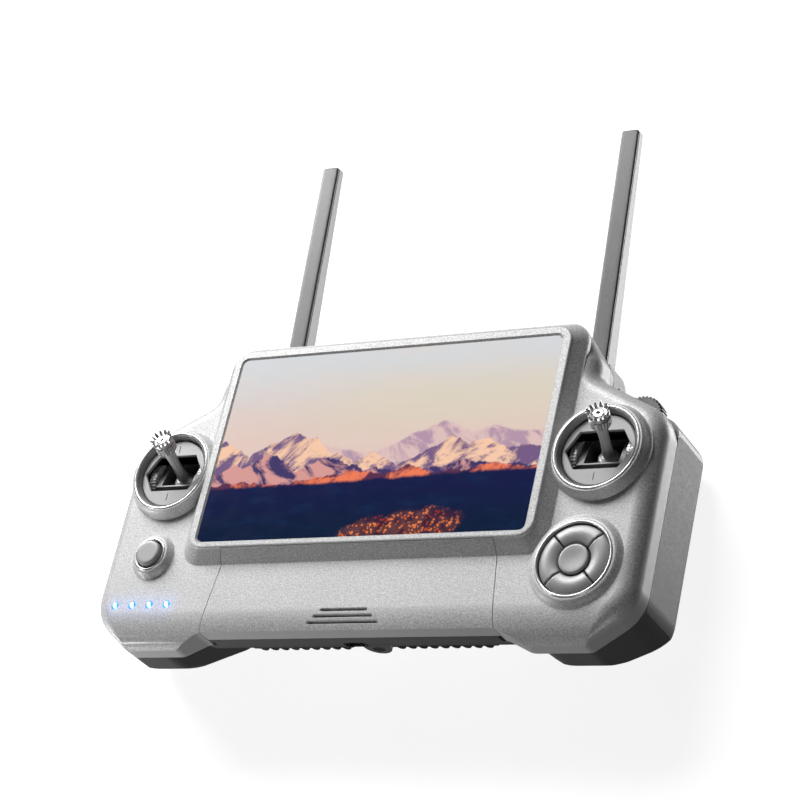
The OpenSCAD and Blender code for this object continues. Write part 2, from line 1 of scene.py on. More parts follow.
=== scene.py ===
"""Looks of a handheld radio transmitter: moulded shells, lit display, stick gimbals, keys and antennas.

Shapes are made in millimetres in the display's own frame (origin in the middle of the display's
surface, +X to the operator's right, +Y along the antennas, +Z out of the display), then moved to
the row frame in metres.
"""

import math

import bmesh
import bpy
from mathutils import Matrix, Vector


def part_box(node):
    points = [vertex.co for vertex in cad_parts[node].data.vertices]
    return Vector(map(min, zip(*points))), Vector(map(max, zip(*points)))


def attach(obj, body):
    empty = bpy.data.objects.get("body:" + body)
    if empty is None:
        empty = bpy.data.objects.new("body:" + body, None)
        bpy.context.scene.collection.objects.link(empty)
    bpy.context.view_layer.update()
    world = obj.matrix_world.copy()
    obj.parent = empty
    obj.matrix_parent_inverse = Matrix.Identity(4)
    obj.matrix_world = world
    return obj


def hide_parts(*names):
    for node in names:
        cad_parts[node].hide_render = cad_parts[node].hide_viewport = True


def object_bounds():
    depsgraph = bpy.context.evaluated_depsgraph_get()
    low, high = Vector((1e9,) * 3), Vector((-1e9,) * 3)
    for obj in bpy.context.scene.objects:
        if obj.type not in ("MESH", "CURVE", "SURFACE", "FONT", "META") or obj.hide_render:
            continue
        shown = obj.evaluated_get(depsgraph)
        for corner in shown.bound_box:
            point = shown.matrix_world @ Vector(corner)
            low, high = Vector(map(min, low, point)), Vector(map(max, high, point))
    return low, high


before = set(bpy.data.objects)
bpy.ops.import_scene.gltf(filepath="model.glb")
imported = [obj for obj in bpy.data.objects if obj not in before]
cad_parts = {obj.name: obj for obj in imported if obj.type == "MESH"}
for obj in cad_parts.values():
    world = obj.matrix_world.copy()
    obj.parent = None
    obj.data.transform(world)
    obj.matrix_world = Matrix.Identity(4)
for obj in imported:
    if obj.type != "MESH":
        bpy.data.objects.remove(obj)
cad_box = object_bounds()

GLASS_LOW, GLASS_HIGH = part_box("display_glass")
GLASS_SINK = 0.3
ORIGIN = Vector((
    (GLASS_LOW.x + GLASS_HIGH.x) / 2,
    (GLASS_LOW.y + GLASS_HIGH.y) / 2,
    GLASS_HIGH.z + GLASS_SINK / 1000,
))
TO_ROW = Matrix.Translation(ORIGIN) @ Matrix.Scale(0.001, 4)

# ---------------------------------------------------------------- sizes, in millimetres

HALF_W = 127
WALL = 2.2
WING_Z = -5.5
FACE_UNDER = WING_Z - WALL
PARTING_Z = -19
STRIP_SEAM_Z = -14.5
SLAB_BACK = -32
GRIP_BACK = -53
SLAB_BOTTOM_Y = -82.4
GRIP_BOTTOM_Y = -88
EDGE_R = 7.5
ROLL_Y = -72.6
ROLL_REACH = 15.6
ROLL_DROP = 8.5

STICK_X = 101.8
STICK_Y = -8.5
PIVOT_Z = -15
STICK_LEN = 30
LEAN_UP = 16
LEAN_SIDE = {-1: 4, 1: 11}
PAD = (100.2, -55.75)
POWER = (-101.7, -47.7)
LED_FIRST = (-114.9, -70)
LED_PITCH = 8.9
DISPLAY_W = 155
DISPLAY_H = 87.2
HINGE_Y = 38.5
HINGE_Z = -39.3
ANTENNA_X = 76.1
ANTENNA_LEN = 121.5
ANTENNA_W = 8
ANTENNA_LEAN = 6.8
DIAL = (106, 16.3, -26)
DIAL_R = 10
LUG_Y = -77
LUG_R = 6.3
PORT = (-0.7, -21)
SIDE_NAME = {-1: "left", 1: "right"}

FRONT_HALF = [
    (70, SLAB_BOTTOM_Y, 10), (82, GRIP_BOTTOM_Y, 8), (107.8, GRIP_BOTTOM_Y, 6),
    (HALF_W, -73.8, 17.4), (HALF_W, 9, 16), (92.5, 27.6, 6), (91.5, 37, 10), (79, 55, 10),
]
SLAB_HALF = [
    (72, SLAB_BOTTOM_Y, 3), (96, -60, 6), (96, 18, 6), (92.5, 27.6, 6), (91.5, 37, 10),
    (79, 55, 10),
]
GRIP_OUTLINE = [
    (90.7, GRIP_BOTTOM_Y, 8), (107.8, GRIP_BOTTOM_Y, 6), (HALF_W, -73.8, 17.4), (HALF_W, 9.5, 9),
    (92.5, 27.6, 5), (66, 27.6, 8), (68, -72.8, 8),
]
GRIP_ACROSS = 17.3
GRIP_RISE = 10.7
GRIP_END_Z = -37.5
GRIP_SLANT = 1.23
SLAB_ACROSS = 11
SLAB_RISE = 12.5
SINK_Y = (-78.4, 16)
PANEL_R = 3
PANEL_Y = (-71, 5)
PANEL_X = 100
EYE_Z = -37.4
RIB_PITCH = 5.05
RIB_FIRST_X = 11.1
RIB_Z = -32.9
RIB_R = 1.9
TONGUE_HALF_W = 9
TONGUE_Y = -71


# ---------------------------------------------------------------- outlines

def mirrored(half):
    return list(half) + [(-x, y, r) for x, y, r in reversed(half)]


def corner(before, at, after, inset, steps):
    """Points along one rounded corner of an outline that is moved inwards."""
    here = Vector(at[:2])
    into = (here - Vector(before[:2])).normalized()
    out = (Vector(after[:2]) - here).normalized()
    left_in, left_out = Vector((-into.y, into.x)), Vector((-out.y, out.x))
    turn = math.atan2(into.cross(out), into.dot(out))
    way = math.copysign(1, turn)
    radius = max(0.2, at[2] - way * inset)
    centre = here + (left_in + left_out) / (1 + left_in.dot(left_out)) * (inset + way * radius)
    start = math.atan2(-way * left_in.y, -way * left_in.x)
    return [
        centre + radius * Vector((math.cos(start + turn * i / steps), math.sin(start + turn * i / steps)))
        for i in range(steps + 1)
    ]


def outline(points, inset=0.0, steps=10):
    n = len(points)
    found = []
    for i in range(n):
        found += corner(points[i - 1], points[i], points[(i + 1) % n], inset, steps)
    return found


def rounded_rectangle(x0, y0, x1, y1, radius, steps=8):
    return outline([(x0, y0, radius), (x1, y0, radius), (x1, y1, radius), (x0, y1, radius)], 0, steps)


def circle(radius, segments=64, centre=(0, 0)):
    return [
        Vector((centre[0] + radius * math.cos(a), centre[1] + radius * math.sin(a)))
        for a in (2 * math.pi * i / segments for i in range(segments))
    ]


def arc(radius, first, last, steps, centre=(0, 0)):
    """Points on a circle from one angle to another, in degrees."""
    angles = (math.radians(first + (last - first) * i / steps) for i in range(steps + 1))
    return [(centre[0] + radius * math.cos(a), centre[1] + radius * math.sin(a)) for a in angles]


# ---------------------------------------------------------------- meshes

def make(name, points, faces):
    mesh = bpy.data.meshes.new(name)
    mesh.from_pydata([tuple(p) for p in points], [], faces)
    work = bmesh.new()
    work.from_mesh(mesh)
    bmesh.ops.remove_doubles(work, verts=work.verts, dist=1e-4)
    bmesh.ops.dissolve_degenerate(work, edges=work.edges, dist=1e-5)
    bmesh.ops.recalc_face_normals(work, faces=work.faces)
    work.to_mesh(mesh)
    work.free()
    obj = bpy.data.objects.new(name, mesh)
    bpy.context.scene.collection.objects.link(obj)
    return obj


def loft(name, rings):
    """A closed skin through rings of equal length."""
    n = len(rings[0])
    points = [p for ring in rings for p in ring]
    faces = [list(range(n - 1, -1, -1)), [(len(rings) - 1) * n + j for j in range(n)]]
    for i in range(len(rings) - 1):
        for j in range(n):
            k = (j + 1) % n
            faces.append([i * n + j, i * n + k, (i + 1) * n + k, (i + 1) * n + j])
    return make(name, points, faces)


def at_height(points, z):
    return [(p[0], p[1], z) for p in points]


def prism(name, points, z0, z1):
    return loft(name, [at_height(points, z0), at_height(points, z1)])


def flared_prism(name, shape, z0, z1, chamfer):
    """A cutter whose upper rim opens by a chamfer. shape(grow) gives the outline."""
    return loft(name, [
        at_height(shape(0), z0), at_height(shape(0), z1 - chamfer),
        at_height(shape(chamfer), z1), at_height(shape(chamfer), z1 + 4),
    ])


def block(name, low, high):
    return prism(name, rounded_rectangle(low[0], low[1], high[0], high[1], 0.2, 1), low[2], high[2])


def along_x(points, x0, x1, name):
    """Extrudes a side profile, given as y and z."""
    return loft(name, [[(x, p[0], p[1]) for p in points] for x in (x0, x1)])


def along_y(points, y0, y1, name):
    """Extrudes an end profile, given as x and z."""
    return loft(name, [[(p[0], y, p[1]) for p in points] for y in (y0, y1)])


def lathe(name, profile, segments=96, centre=(0, 0)):
    """Turns a closed profile of radius and height about a vertical axis."""
    points, index = [], []
    for r, z in profile:
        if r < 1e-6:
            index.append([len(points)] * segments)
            points.append((centre[0], centre[1], z))
        else:
            first = len(points)
            points += [
                (centre[0] + r * math.cos(2 * math.pi * j / segments),
                 centre[1] + r * math.sin(2 * math.pi * j / segments), z)
                for j in range(segments)
            ]
            index.append([first + j for j in range(segments)])
    faces = []
    for i in range(len(profile)):
        a, b = index[i], index[(i + 1) % len(profile)]
        if a[0] == a[1] and b[0] == b[1]:
            continue
        for j in range(segments):
            k = (j + 1) % segments
            face = [a[j], a[k], b[k], b[j]]
            faces.append([v for n, v in enumerate(face) if v not in face[:n]])
    return make(name, points, faces)


def apply_modifiers(obj):
    bpy.context.view_layer.update()
    graph = bpy.context.evaluated_depsgraph_get()
    mesh = bpy.data.meshes.new_from_object(obj.evaluated_get(graph))
    old = obj.data
    obj.modifiers.clear()
    obj.data = mesh
    bpy.data.meshes.remove(old)
    return obj


def combine(target, operation, tools):
    for tool in tools:
        step = target.modifiers.new("solid", "BOOLEAN")
        step.operation = operation
        step.solver = "MANIFOLD"
        step.object = tool
        apply_modifiers(target)
        bpy.data.objects.remove(tool)
    return target


def carve(target, *tools):
    return combine(target, "DIFFERENCE", tools)


def unite(target, *tools):
    return combine(target, "UNION", tools)


def keep_common(target, *tools):
    return combine(target, "INTERSECT", tools)


def twin(obj, name):
    copy = obj.copy()
    copy.data = obj.data.copy()
    copy.name = name
    bpy.context.scene.collection.objects.link(copy)
    return copy


def moved(obj, matrix):
    obj.data.transform(matrix)
    return obj


def bevel(obj, width, segments=2, angle=35):
    step = obj.modifiers.new("edges", "BEVEL")
    step.width = width
    step.segments = segments
    step.limit_method = "ANGLE"
    step.angle_limit = math.radians(angle)
    return apply_modifiers(obj)


def settle(obj, body, look, replaces=(), smooth=32):
    """Moves a finished piece to the row frame, shades it and gives it its body and material."""
    obj.data.transform(TO_ROW)
    mesh = obj.data
    mesh.polygons.foreach_set("use_smooth", [True] * len(mesh.polygons))
    mesh.set_sharp_from_angle(angle=math.radians(smooth))
    mesh.materials.clear()
    mesh.materials.append(look)
    weigh = obj.modifiers.new("normals", "WEIGHTED_NORMAL")
    weigh.keep_sharp = True
    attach(obj, body)
    if replaces:
        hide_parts(*replaces)
    return obj


# ---------------------------------------------------------------- materials

def linear(*rgb):
    return tuple(c / 12.92 if c <= 0.04045 else ((c + 0.055) / 1.055) ** 2.4 for c in rgb) + (1.0,)


class Shader:
    """A material with a Principled shader, and short calls that add nodes to it."""

    def __init__(self, name):
        self.material = bpy.data.materials.new(name)
        self.material.use_nodes = True
        self.tree = self.material.node_tree
        self.tree.nodes.clear()
        out = self.tree.nodes.new("ShaderNodeOutputMaterial")
        self.surface = self.tree.nodes.new("ShaderNodeBsdfPrincipled")
        self.tree.links.new(self.surface.outputs[0], out.inputs[0])
        where = self.tree.nodes.new("ShaderNodeTexCoord")
        self.place = where.outputs["Object"]
        self.normal = where.outputs["Normal"]

    def feed(self, socket, value):
        if isinstance(value, bpy.types.NodeSocket):
            self.tree.links.new(value, socket)
        elif value is not None:
            socket.default_value = value

    def set(self, **values):
        for name, value in values.items():
            self.feed(self.surface.inputs[name.replace("_", " ")], value)
        return self

    def math(self, operation, a, b=None):
        node = self.tree.nodes.new("ShaderNodeMath")
        node.operation = operation
        for socket, value in zip(node.inputs, (a, b)):
            self.feed(socket, value)
        return node.outputs[0]

    def plus(self, a, b):
        return self.math("ADD", a, b)

    def minus(self, a, b):
        return self.math("SUBTRACT", a, b)

    def times(self, a, b):
        return self.math("MULTIPLY", a, b)

    def over(self, a, b):
        return self.math("DIVIDE", a, b)

    def step(self, value, low, high, out_low=0.0, out_high=1.0, kind="SMOOTHSTEP"):
        node = self.tree.nodes.new("ShaderNodeMapRange")
        node.interpolation_type = kind
        for socket, v in zip(node.inputs, (value, low, high, out_low, out_high)):
            self.feed(socket, v)
        return node.outputs[0]

    def mix(self, factor, a, b, blend="MIX"):
        node = self.tree.nodes.new("ShaderNodeMix")
        node.data_type = "RGBA"
        node.blend_type = blend
        self.feed(node.inputs[0], factor)
        self.feed(node.inputs[6], a)
        self.feed(node.inputs[7], b)
        return node.outputs[2]

    def split(self, vector):
        node = self.tree.nodes.new("ShaderNodeSeparateXYZ")
        self.feed(node.inputs[0], vector)
        return node.outputs

    def join(self, x, y, z=0.0):
        node = self.tree.nodes.new("ShaderNodeCombineXYZ")
        for socket, v in zip(node.inputs, (x, y, z)):
            self.feed(socket, v)
        return node.outputs[0]

    def stretch(self, scale):
        node = self.tree.nodes.new("ShaderNodeMapping")
        self.feed(node.inputs["Vector"], self.place)
        node.inputs["Scale"].default_value = scale
        return node.outputs[0]

    def noise(self, scale, detail=2.0, rough=0.5, vector=None, warp=0.0):
        node = self.tree.nodes.new("ShaderNodeTexNoise")
        self.feed(node.inputs["Vector"], self.place if vector is None else vector)
        node.inputs["Scale"].default_value = scale
        node.inputs["Detail"].default_value = detail
        node.inputs["Roughness"].default_value = rough
        node.inputs["Distortion"].default_value = warp
        return node.outputs[0]

    def cells(self, scale, vector=None):
        node = self.tree.nodes.new("ShaderNodeTexVoronoi")
        self.feed(node.inputs["Vector"], self.place if vector is None else vector)
        node.inputs["Scale"].default_value = scale
        return node.outputs[0]

    def bump(self, height, strength, distance=0.0001):
        node = self.tree.nodes.new("ShaderNodeBump")
        node.inputs["Strength"].default_value = strength
        node.inputs["Distance"].default_value = distance
        self.feed(node.inputs["Height"], height)
        self.feed(self.surface.inputs["Normal"], node.outputs[0])
        return self


def grey(value, warm=0.0):
    return linear(value + warm, value, value - warm)


def plastic(name, tone, rough=0.45, metallic=0.0, speckle=0.0, speck_size=0.5, coat=0.0, warm=0.0):
    """Moulded or painted plastic: fine moulding texture, slow colour drift and uneven gloss."""
    s = Shader(name)
    per_metre = 1000 / speck_size
    grain = s.noise(per_metre, 2.0, 0.6)
    drift = s.noise(28, 2.0)
    base = s.mix(s.step(drift, 0.35, 0.65), grey(tone * 0.99, warm), grey(min(1, tone * 1.01), warm))
    if speckle:
        level = s.step(grain, 0.3, 0.7, 1 - speckle, 1 + speckle, "LINEAR")
        facing = s.step(s.split(s.normal)[2], 0.12, 0.5)
        level = s.plus(1.0, s.times(s.minus(level, 1.0), facing))
        base = s.mix(1.0, base, s.join(level, level, level), "MULTIPLY")
    s.set(Base_Color=base, Metallic=metallic)
    s.set(Roughness=s.step(s.noise(900, 3.0), 0.3, 0.7, rough - 0.04, rough + 0.05))
    if coat:
        s.set(Coat_Weight=coat, Coat_Roughness=0.2)
    return s.bump(grain, 0.35 if speckle else 0.12, 0.00006)


def metal(name, tone, rough, brushed):
    """Machined or brushed metal: streaks along one direction and slight wear in the gloss."""
    s = Shader(name)
    streaks = s.noise(900, 3.0, 0.6, s.stretch(brushed))
    base = s.mix(s.step(streaks, 0.3, 0.7), grey(tone * 0.9), grey(min(1, tone * 1.06)))
    s.set(Base_Color=base, Metallic=1.0)
    s.set(Roughness=s.step(s.noise(400, 3.0), 0.3, 0.7, rough - 0.05, rough + 0.05))
    return s.bump(streaks, 0.15, 0.00003)


def board(name, colour, trace):
    """Printed circuit board: solder mask with fine copper traces and pads under it."""
    s = Shader(name)
    across_x = s.math("FRACT", s.times(s.split(s.place)[0], 640))
    across_y = s.math("FRACT", s.times(s.split(s.place)[1], 640))
    patch = s.noise(90, 0.0)
    way = s.math("GREATER_THAN", patch, 0.5)
    line = s.math("LESS_THAN", s.mix(way, s.join(across_x, 0, 0), s.join(across_y, 0, 0)), 0.3)
    pads = s.math("LESS_THAN", s.cells(420), 0.22)
    base = s.mix(s.times(line, 0.8), linear(*colour), linear(*trace))
    base = s.mix(pads, base, linear(0.8, 0.72, 0.45))
    s.set(Base_Color=base, Roughness=s.step(s.noise(300), 0.3, 0.7, 0.3, 0.42), Coat_Weight=0.4)
    return s.bump(line, 0.1, 0.00003)


def light_pool(s, base_glow, centres, radius, colour):
    """Adds the glow of small lights around given points to a material."""
    total = None
    px, py, _ = s.split(s.place)
    for cx, cy in centres:
        dx = s.minus(px, cx)
        dy = s.minus(py, cy)
        square = s.plus(s.times(dx, dx), s.times(dy, dy))
        glow = s.math("POWER", 2.718, s.times(square, -1 / radius ** 2))
        total = glow if total is None else s.plus(total, glow)
    s.set(Emission_Color=colour, Emission_Strength=s.times(total, base_glow))


def landscape():
    """A made-up mountain dusk for the lit display, drawn from noise."""
    s = Shader("display_picture")
    px, py, _ = s.split(s.place)
    across_ = s.plus(s.over(s.minus(px, ORIGIN.x), DISPLAY_W / 1000), 0.5)
    up = s.plus(s.over(s.minus(py, ORIGIN.y), DISPLAY_H / 1000), 0.5)
    wide = s.times(across_, 1.78)

    def ridge(offset, peaks, rough, fine=9):
        """Skyline made of pointed peaks, each given as its place, height and steepness."""
        line = None
        for x, top, steep in peaks:
            fall = s.times(s.math("ABSOLUTE", s.minus(across_, x)), -steep)
            peak = s.plus(fall, top)
            line = peak if line is None else s.math("MAXIMUM", line, peak)
        jagged = s.noise(fine, 5.0, 0.58, s.join(wide, offset))
        return s.plus(line, s.times(s.minus(jagged, 0.5), rough))

    def below(line, soft=0.006):
        return s.step(s.minus(line, up), -soft, soft)

    def slopes(offset, lean):
        """Lit and shaded rock faces that run down from the skyline."""
        slant = s.plus(wide, s.times(up, lean))
        faces = s.noise(6.0, 6.0, 0.62, s.join(slant, s.times(up, 0.9), offset), 0.5)
        return s.step(faces, 0.44, 0.56)

    def range_of_peaks(picture, line, offset, lean, light, shade, soft=0.005):
        colour = s.mix(slopes(offset, lean), shade, light)
        return s.mix(below(line, soft), picture, colour)

    # sky
    sky = s.mix(s.step(up, 0.5, 1.0), linear(0.90, 0.80, 0.76), linear(0.85, 0.86, 0.87))
    near_sun = s.minus(1.0, s.step(s.math("ABSOLUTE", s.minus(up, 0.70)), 0.0, 0.26))
    warm = s.times(s.step(across_, 0.05, 0.6), near_sun)
    sky = s.mix(s.times(warm, 0.7), sky, linear(0.87, 0.84, 0.75))
    haze = s.noise(2.2, 3.0, 0.55, s.join(wide, s.times(up, 3.4), 2.0))
    picture = s.mix(s.times(s.step(haze, 0.5, 0.72), 0.25), sky, linear(0.92, 0.84, 0.80))
    # ranges from far to near
    far = ridge(1.7, [(0.30, 0.50, 0.35), (0.70, 0.585, 0.8), (0.86, 0.54, 0.5), (1.0, 0.50, 0.3)], 0.06)
    picture = range_of_peaks(picture, far, 2.0, 0.9, linear(0.88, 0.76, 0.75), linear(0.72, 0.60, 0.68), 0.01)
    snowy = ridge(9.3, [(0.01, 0.55, 1.2), (0.24, 0.57, 0.95), (0.31, 0.52, 1.0), (0.50, 0.44, 1.1),
                        (0.73, 0.50, 1.0), (0.84, 0.47, 0.6), (0.97, 0.43, 0.6)], 0.10)
    picture = range_of_peaks(picture, snowy, 7.0, -0.8, linear(0.98, 0.80, 0.68), linear(0.47, 0.37, 0.53))
    middle = ridge(15.1, [(0.06, 0.40, 0.7), (0.17, 0.46, 1.0), (0.36, 0.42, 0.6), (0.52, 0.36, 0.5),
                          (0.80, 0.37, 0.3)], 0.10, 12)
    picture = range_of_peaks(picture, middle, 11.0, 0.8, linear(0.86, 0.62, 0.60), linear(0.27, 0.23, 0.42))
    coral = ridge(21.4, [(0.10, 0.31, 0.2), (0.45, 0.34, 0.25), (0.62, 0.36, 0.6),
                         (0.88, 0.34, 0.2)], 0.07, 14)
    picture = range_of_peaks(picture, coral, 13.0, -0.5, linear(0.95, 0.50, 0.36), linear(0.36, 0.20, 0.32))
    # valley and foreground
    valley = ridge(27.0, [(0.30, 0.285, 0.02), (0.9, 0.31, 0.05)], 0.04)
    ground = s.mix(s.step(up, 0.0, 0.3), linear(0.07, 0.13, 0.24), linear(0.10, 0.12, 0.29))
    veil = s.noise(5, 3.0, 0.55, s.join(wide, s.times(up, 3.2), 6.0))
    ground = s.mix(s.times(s.step(veil, 0.5, 0.68), 0.4), ground, linear(0.09, 0.18, 0.33))
    picture = s.mix(below(valley, 0.01), picture, ground)
    # a lit bush and a few scattered leaves
    sheared = s.minus(across_, s.times(up, 0.7))
    from_middle = s.math("POWER", s.over(s.minus(sheared, 0.62), 0.19), 2.0)
    from_foot = s.math("POWER", s.over(s.minus(up, 0.02), 0.115), 2.0)
    bush = s.minus(1.0, s.math("SQRT", s.plus(from_middle, from_foot)))
    twigs = s.minus(s.noise(9, 4.0, 0.6, s.join(wide, up, 3.0)), 0.5)
    ragged = s.plus(bush, s.times(twigs, 0.7))
    leaves = s.step(s.cells(58, s.join(wide, up)), 0.28, 0.5, 1.0, 0.0)
    shade = s.step(s.noise(16, 2.0, 0.5, s.join(wide, up, 9.0)), 0.4, 0.6)
    tint = s.mix(shade, linear(0.58, 0.22, 0.16), linear(0.93, 0.52, 0.30))
    cover = s.times(s.step(ragged, 0.0, 0.3), s.math("MAXIMUM", leaves, 0.15))
    picture = s.mix(cover, picture, tint)
    dark = linear(0.01, 0.01, 0.015)
    s.set(Base_Color=dark, Roughness=s.step(s.noise(150, 2.0), 0.3, 0.7, 0.10, 0.16), Specular_IOR_Level=0.04)
    s.set(Emission_Color=picture, Emission_Strength=0.97)
    return s.material


def lamp_look():
    """Lit lens: a white-hot middle that turns cyan and then blue at the rim."""
    s = Shader("status_light")
    px, py, _ = s.split(s.place)
    first_x = ORIGIN.x + LED_FIRST[0] / 1000
    count = s.over(s.minus(px, first_x), LED_PITCH / 1000)
    cell = s.minus(s.math("FRACT", s.plus(count, 0.5)), 0.5)
    dx = s.times(cell, LED_PITCH)
    dy = s.times(s.minus(py, ORIGIN.y + LED_FIRST[1] / 1000), 1000)
    along = s.plus(dx, s.times(dy, 0.5))
    upright = s.times(s.times(dy, dy), 0.35)
    distance = s.math("SQRT", s.plus(s.times(along, along), upright))
    colour = s.mix(s.step(distance, 0.5, 1.35), linear(0.93, 1.0, 1.0), linear(0.12, 0.60, 1.0))
    ripple = s.noise(2500, 2.0)
    s.set(Base_Color=linear(0.3, 0.6, 0.9), Roughness=s.step(ripple, 0.3, 0.7, 0.1, 0.2))
    s.set(Emission_Color=colour, Emission_Strength=s.step(distance, 0.3, 1.7, 1.6, 0.9))
    return s.material


FRONT = plastic("front_satin_plastic", 0.74, 0.42, 0.10, 0.34, 0.6)
light_pool(
    FRONT, 0.22,
    [(ORIGIN.x + (LED_FIRST[0] + LED_PITCH * i) / 1000, ORIGIN.y + LED_FIRST[1] / 1000) for i in range(4)],
    0.0048, linear(0.35, 0.55, 1.0),
)
LOOKS = {
    "front_plastic": FRONT.material,
    "rear_plastic": plastic("rear_smooth_plastic", 0.40, 0.40, 0.15, 0.06, 0.6).material,
    "grip_rubber": plastic("grip_soft_panel", 0.50, 0.50, 0.0, 0.04, 0.4).material,
    "bare_aluminium": metal("ribbed_aluminium", 0.72, 0.34, (0.2, 6, 1)).material,
    "frame_metal": metal("frame_magnesium", 0.55, 0.42, (1, 1, 1)).material,
    "screen_glass": landscape(),
    "display_stack": plastic("display_stack_black", 0.08, 0.35).material,
    "circuit_board": board("circuit_board_green", (0.05, 0.22, 0.12), (0.10, 0.36, 0.20)).material,
    "shield_metal": metal("shield_tin", 0.78, 0.25, (6, 0.3, 1)).material,
    "cable_black": plastic("cable_jacket", 0.09, 0.5).material,
    "inner_plastic": plastic("inner_black_plastic", 0.11, 0.5, 0.0, 0.05, 0.6).material,
    "cell_wrap": plastic("cell_wrap_blue", 0.35, 0.3, 0.0, 0.0, 0.5, 0.3, -0.12).material,
    "screw_steel": metal("screw_steel", 0.52, 0.3, (1, 1, 4)).material,
    "led_blue": lamp_look(),
    "bright_trim": plastic("bright_trim", 0.86, 0.22, 0.6, 0.03, 0.3).material,

    "key_mat": plastic("key_mat_silicone", 0.30, 0.6).material,
    "key_plastic": plastic("key_satin_plastic", 0.58, 0.38, 0.15, 0.03, 0.3).material,
    "gimbal_plate_grey": plastic("gimbal_plate_satin", 0.58, 0.42, 0.2, 0.05, 0.4).material,
    "yoke_black": plastic("yoke_dark_plastic", 0.36, 0.36, 0.0, 0.06, 0.4).material,
    "drum_metal": plastic("drum_satin_silver", 0.82, 0.34, 0.3, 0.05, 0.3).material,
    "stick_metal": plastic("stick_shaft_satin", 0.78, 0.34, 0.3, 0.03, 0.3).material,
    "cap_metal": plastic("stick_cap_satin", 0.72, 0.32, 0.5, 0.04, 0.3).material,
    "dial_black": plastic("dial_dark_plastic", 0.30, 0.36, 0.1).material,
    "antenna_plastic": plastic("antenna_satin_plastic", 0.42, 0.34, 0.2, 0.04, 0.4).material,
}


def show(obj, body, slot, replaces=(), smooth=32):
    return settle(obj, body, LOOKS[slot], replaces, smooth)


# ---------------------------------------------------------------- front shell

def softened(points, soft, z, inset, extra, steps=10):
    """Ring whose inset grows by extra only where soft is 1."""
    near = outline(points, inset, steps)
    far = outline(points, inset + extra, steps)
    return [(a[0] + (b[0] - a[0]) * k, a[1] + (b[1] - a[1]) * k, z) for a, b, k in zip(near, far, soft)]


def front_softness(steps=10):
    """0 along the operator's edge, where the roll makes a crisp edge, and 1 elsewhere."""
    right = []
    for i in range(len(FRONT_HALF)):
        for j in range(steps + 1):
            t = j / steps
            right.append(0.04 if i < 2 else (0.04 + 0.96 * t * t * (3 - 2 * t) if i == 2 else 1.0))
    return right + right[::-1]


def front_solid(name, inset, top, radius, z0):
    soft = front_softness()
    outer = mirrored(FRONT_HALF)
    rings = [softened(outer, soft, z0, inset, 0)]
    for i in range(13):
        a = math.radians(7.5 * i)
        z = top - radius + radius * math.sin(a)
        rings.append(softened(outer, soft, z, inset, radius * (1 - math.cos(a))))
    return loft(name, rings)


def roll_profile(shift):
    return [
        (ROLL_Y + shift - ROLL_REACH * math.cos(a), WING_Z - shift - ROLL_DROP * (1 - math.sin(a)))
        for a in (math.radians(90 - 5 * i) for i in range(19))
    ]


def under_roll(shift=0.0):
    top = ROLL_Y + shift + 4
    profile = [(90, 20), (top, 20), (top, WING_Z - shift + 0.02)] + roll_profile(shift)
    profile += [(ROLL_Y + shift - ROLL_REACH, -70), (90, -70)]
    return along_x(profile, -HALF_W - 5, HALF_W + 5, "under_roll")


def bezel_ring(t, z, grow=0.0):
    half = 85.9 - 4.4 * t + grow
    low, high = -51.6 + 5.2 * t - grow, 50.8 - 3.4 * t + grow
    return at_height(rounded_rectangle(-half, low, half, high, 8.5 - 1.5 * t + grow, 10), z)


def bezel_solid():
    return loft("bezel", [
        bezel_ring(0, WING_Z - 1.8, 1.0), bezel_ring(0, WING_Z - 0.05, 1.0), bezel_ring(0, WING_Z + 0.1, 0.6),
        bezel_ring(0, WING_Z + 0.35, 0.2), bezel_ring(0.03, WING_Z + 0.8), bezel_ring(0.84, -1.25),
        bezel_ring(0.875, -0.8), bezel_ring(0.925, -0.4), bezel_ring(0.99, -0.12), bezel_ring(1.08, 0),
    ])


def collar(name, centre, foot, top, seat, top_z):
    """Raised round collar whose foot runs softly into the face and whose lip is rounded."""
    low = WING_Z - 0.25
    rise = top_z - low
    slope = [
        (foot + (top - foot) * i / 14, low + rise * (0.5 - 0.5 * math.cos(math.pi * (i / 14) ** 1.15)))
        for i in range(15)
    ]
    profile = [(0, WING_Z - 1.6), (foot, WING_Z - 1.6)] + slope + [(seat - 0.4, top_z), (0, top_z)]
    return lathe(name, profile, 128, centre)


def region_prism(gap, name):
    return prism(name, [
        (-64.6 + gap, -46.8 - gap), (-70.6 + gap, -95), (70.6 - gap, -95), (64.6 - gap, -46.8 - gap),
    ], -40, 10)


def stadium(half, radius, centre, grow=0.0, steps=8):
    """Slot outline, counter-clockwise, long along X."""
    r = radius + grow
    right = arc(r, -90, 90, steps, (half - radius, 0))
    left = [(-x, -y) for x, y in right]
    return [(centre[0] + x, centre[1] + y) for x, y in right + left]


shell = keep_common(front_solid("front_shell_skin", 0, WING_Z, EDGE_R, PARTING_Z), under_roll())
shell = unite(shell, bezel_solid())
panel = keep_common(twin(shell, "lower_panel_skin"), region_prism(0.14, "inside"))
carve(shell, region_prism(-0.14, "outside"))
for side in (-1, 1):
    unite(shell, collar("collar", (side * STICK_X, STICK_Y), 22.0, 19.2, 18.75, -1.2))
unite(shell, collar("collar", PAD, 21.2, 17.0, 16.55, -3.2), collar("collar", POWER, 11.2, 8.1, 7.7, -2.6))


def front_hollow():
    return keep_common(front_solid("hollow", WALL, FACE_UNDER, EDGE_R - WALL, -40), under_roll(WALL))


carve(shell, front_hollow())
carve(panel, front_hollow())
DISPLAY_CORNER = 2.6


def display_outline(grow):
    half_w, half_h = DISPLAY_W / 2 + 0.2 + grow, DISPLAY_H / 2 + 0.2 + grow
    return rounded_rectangle(-half_w, -half_h, half_w, half_h, DISPLAY_CORNER + grow, 8)


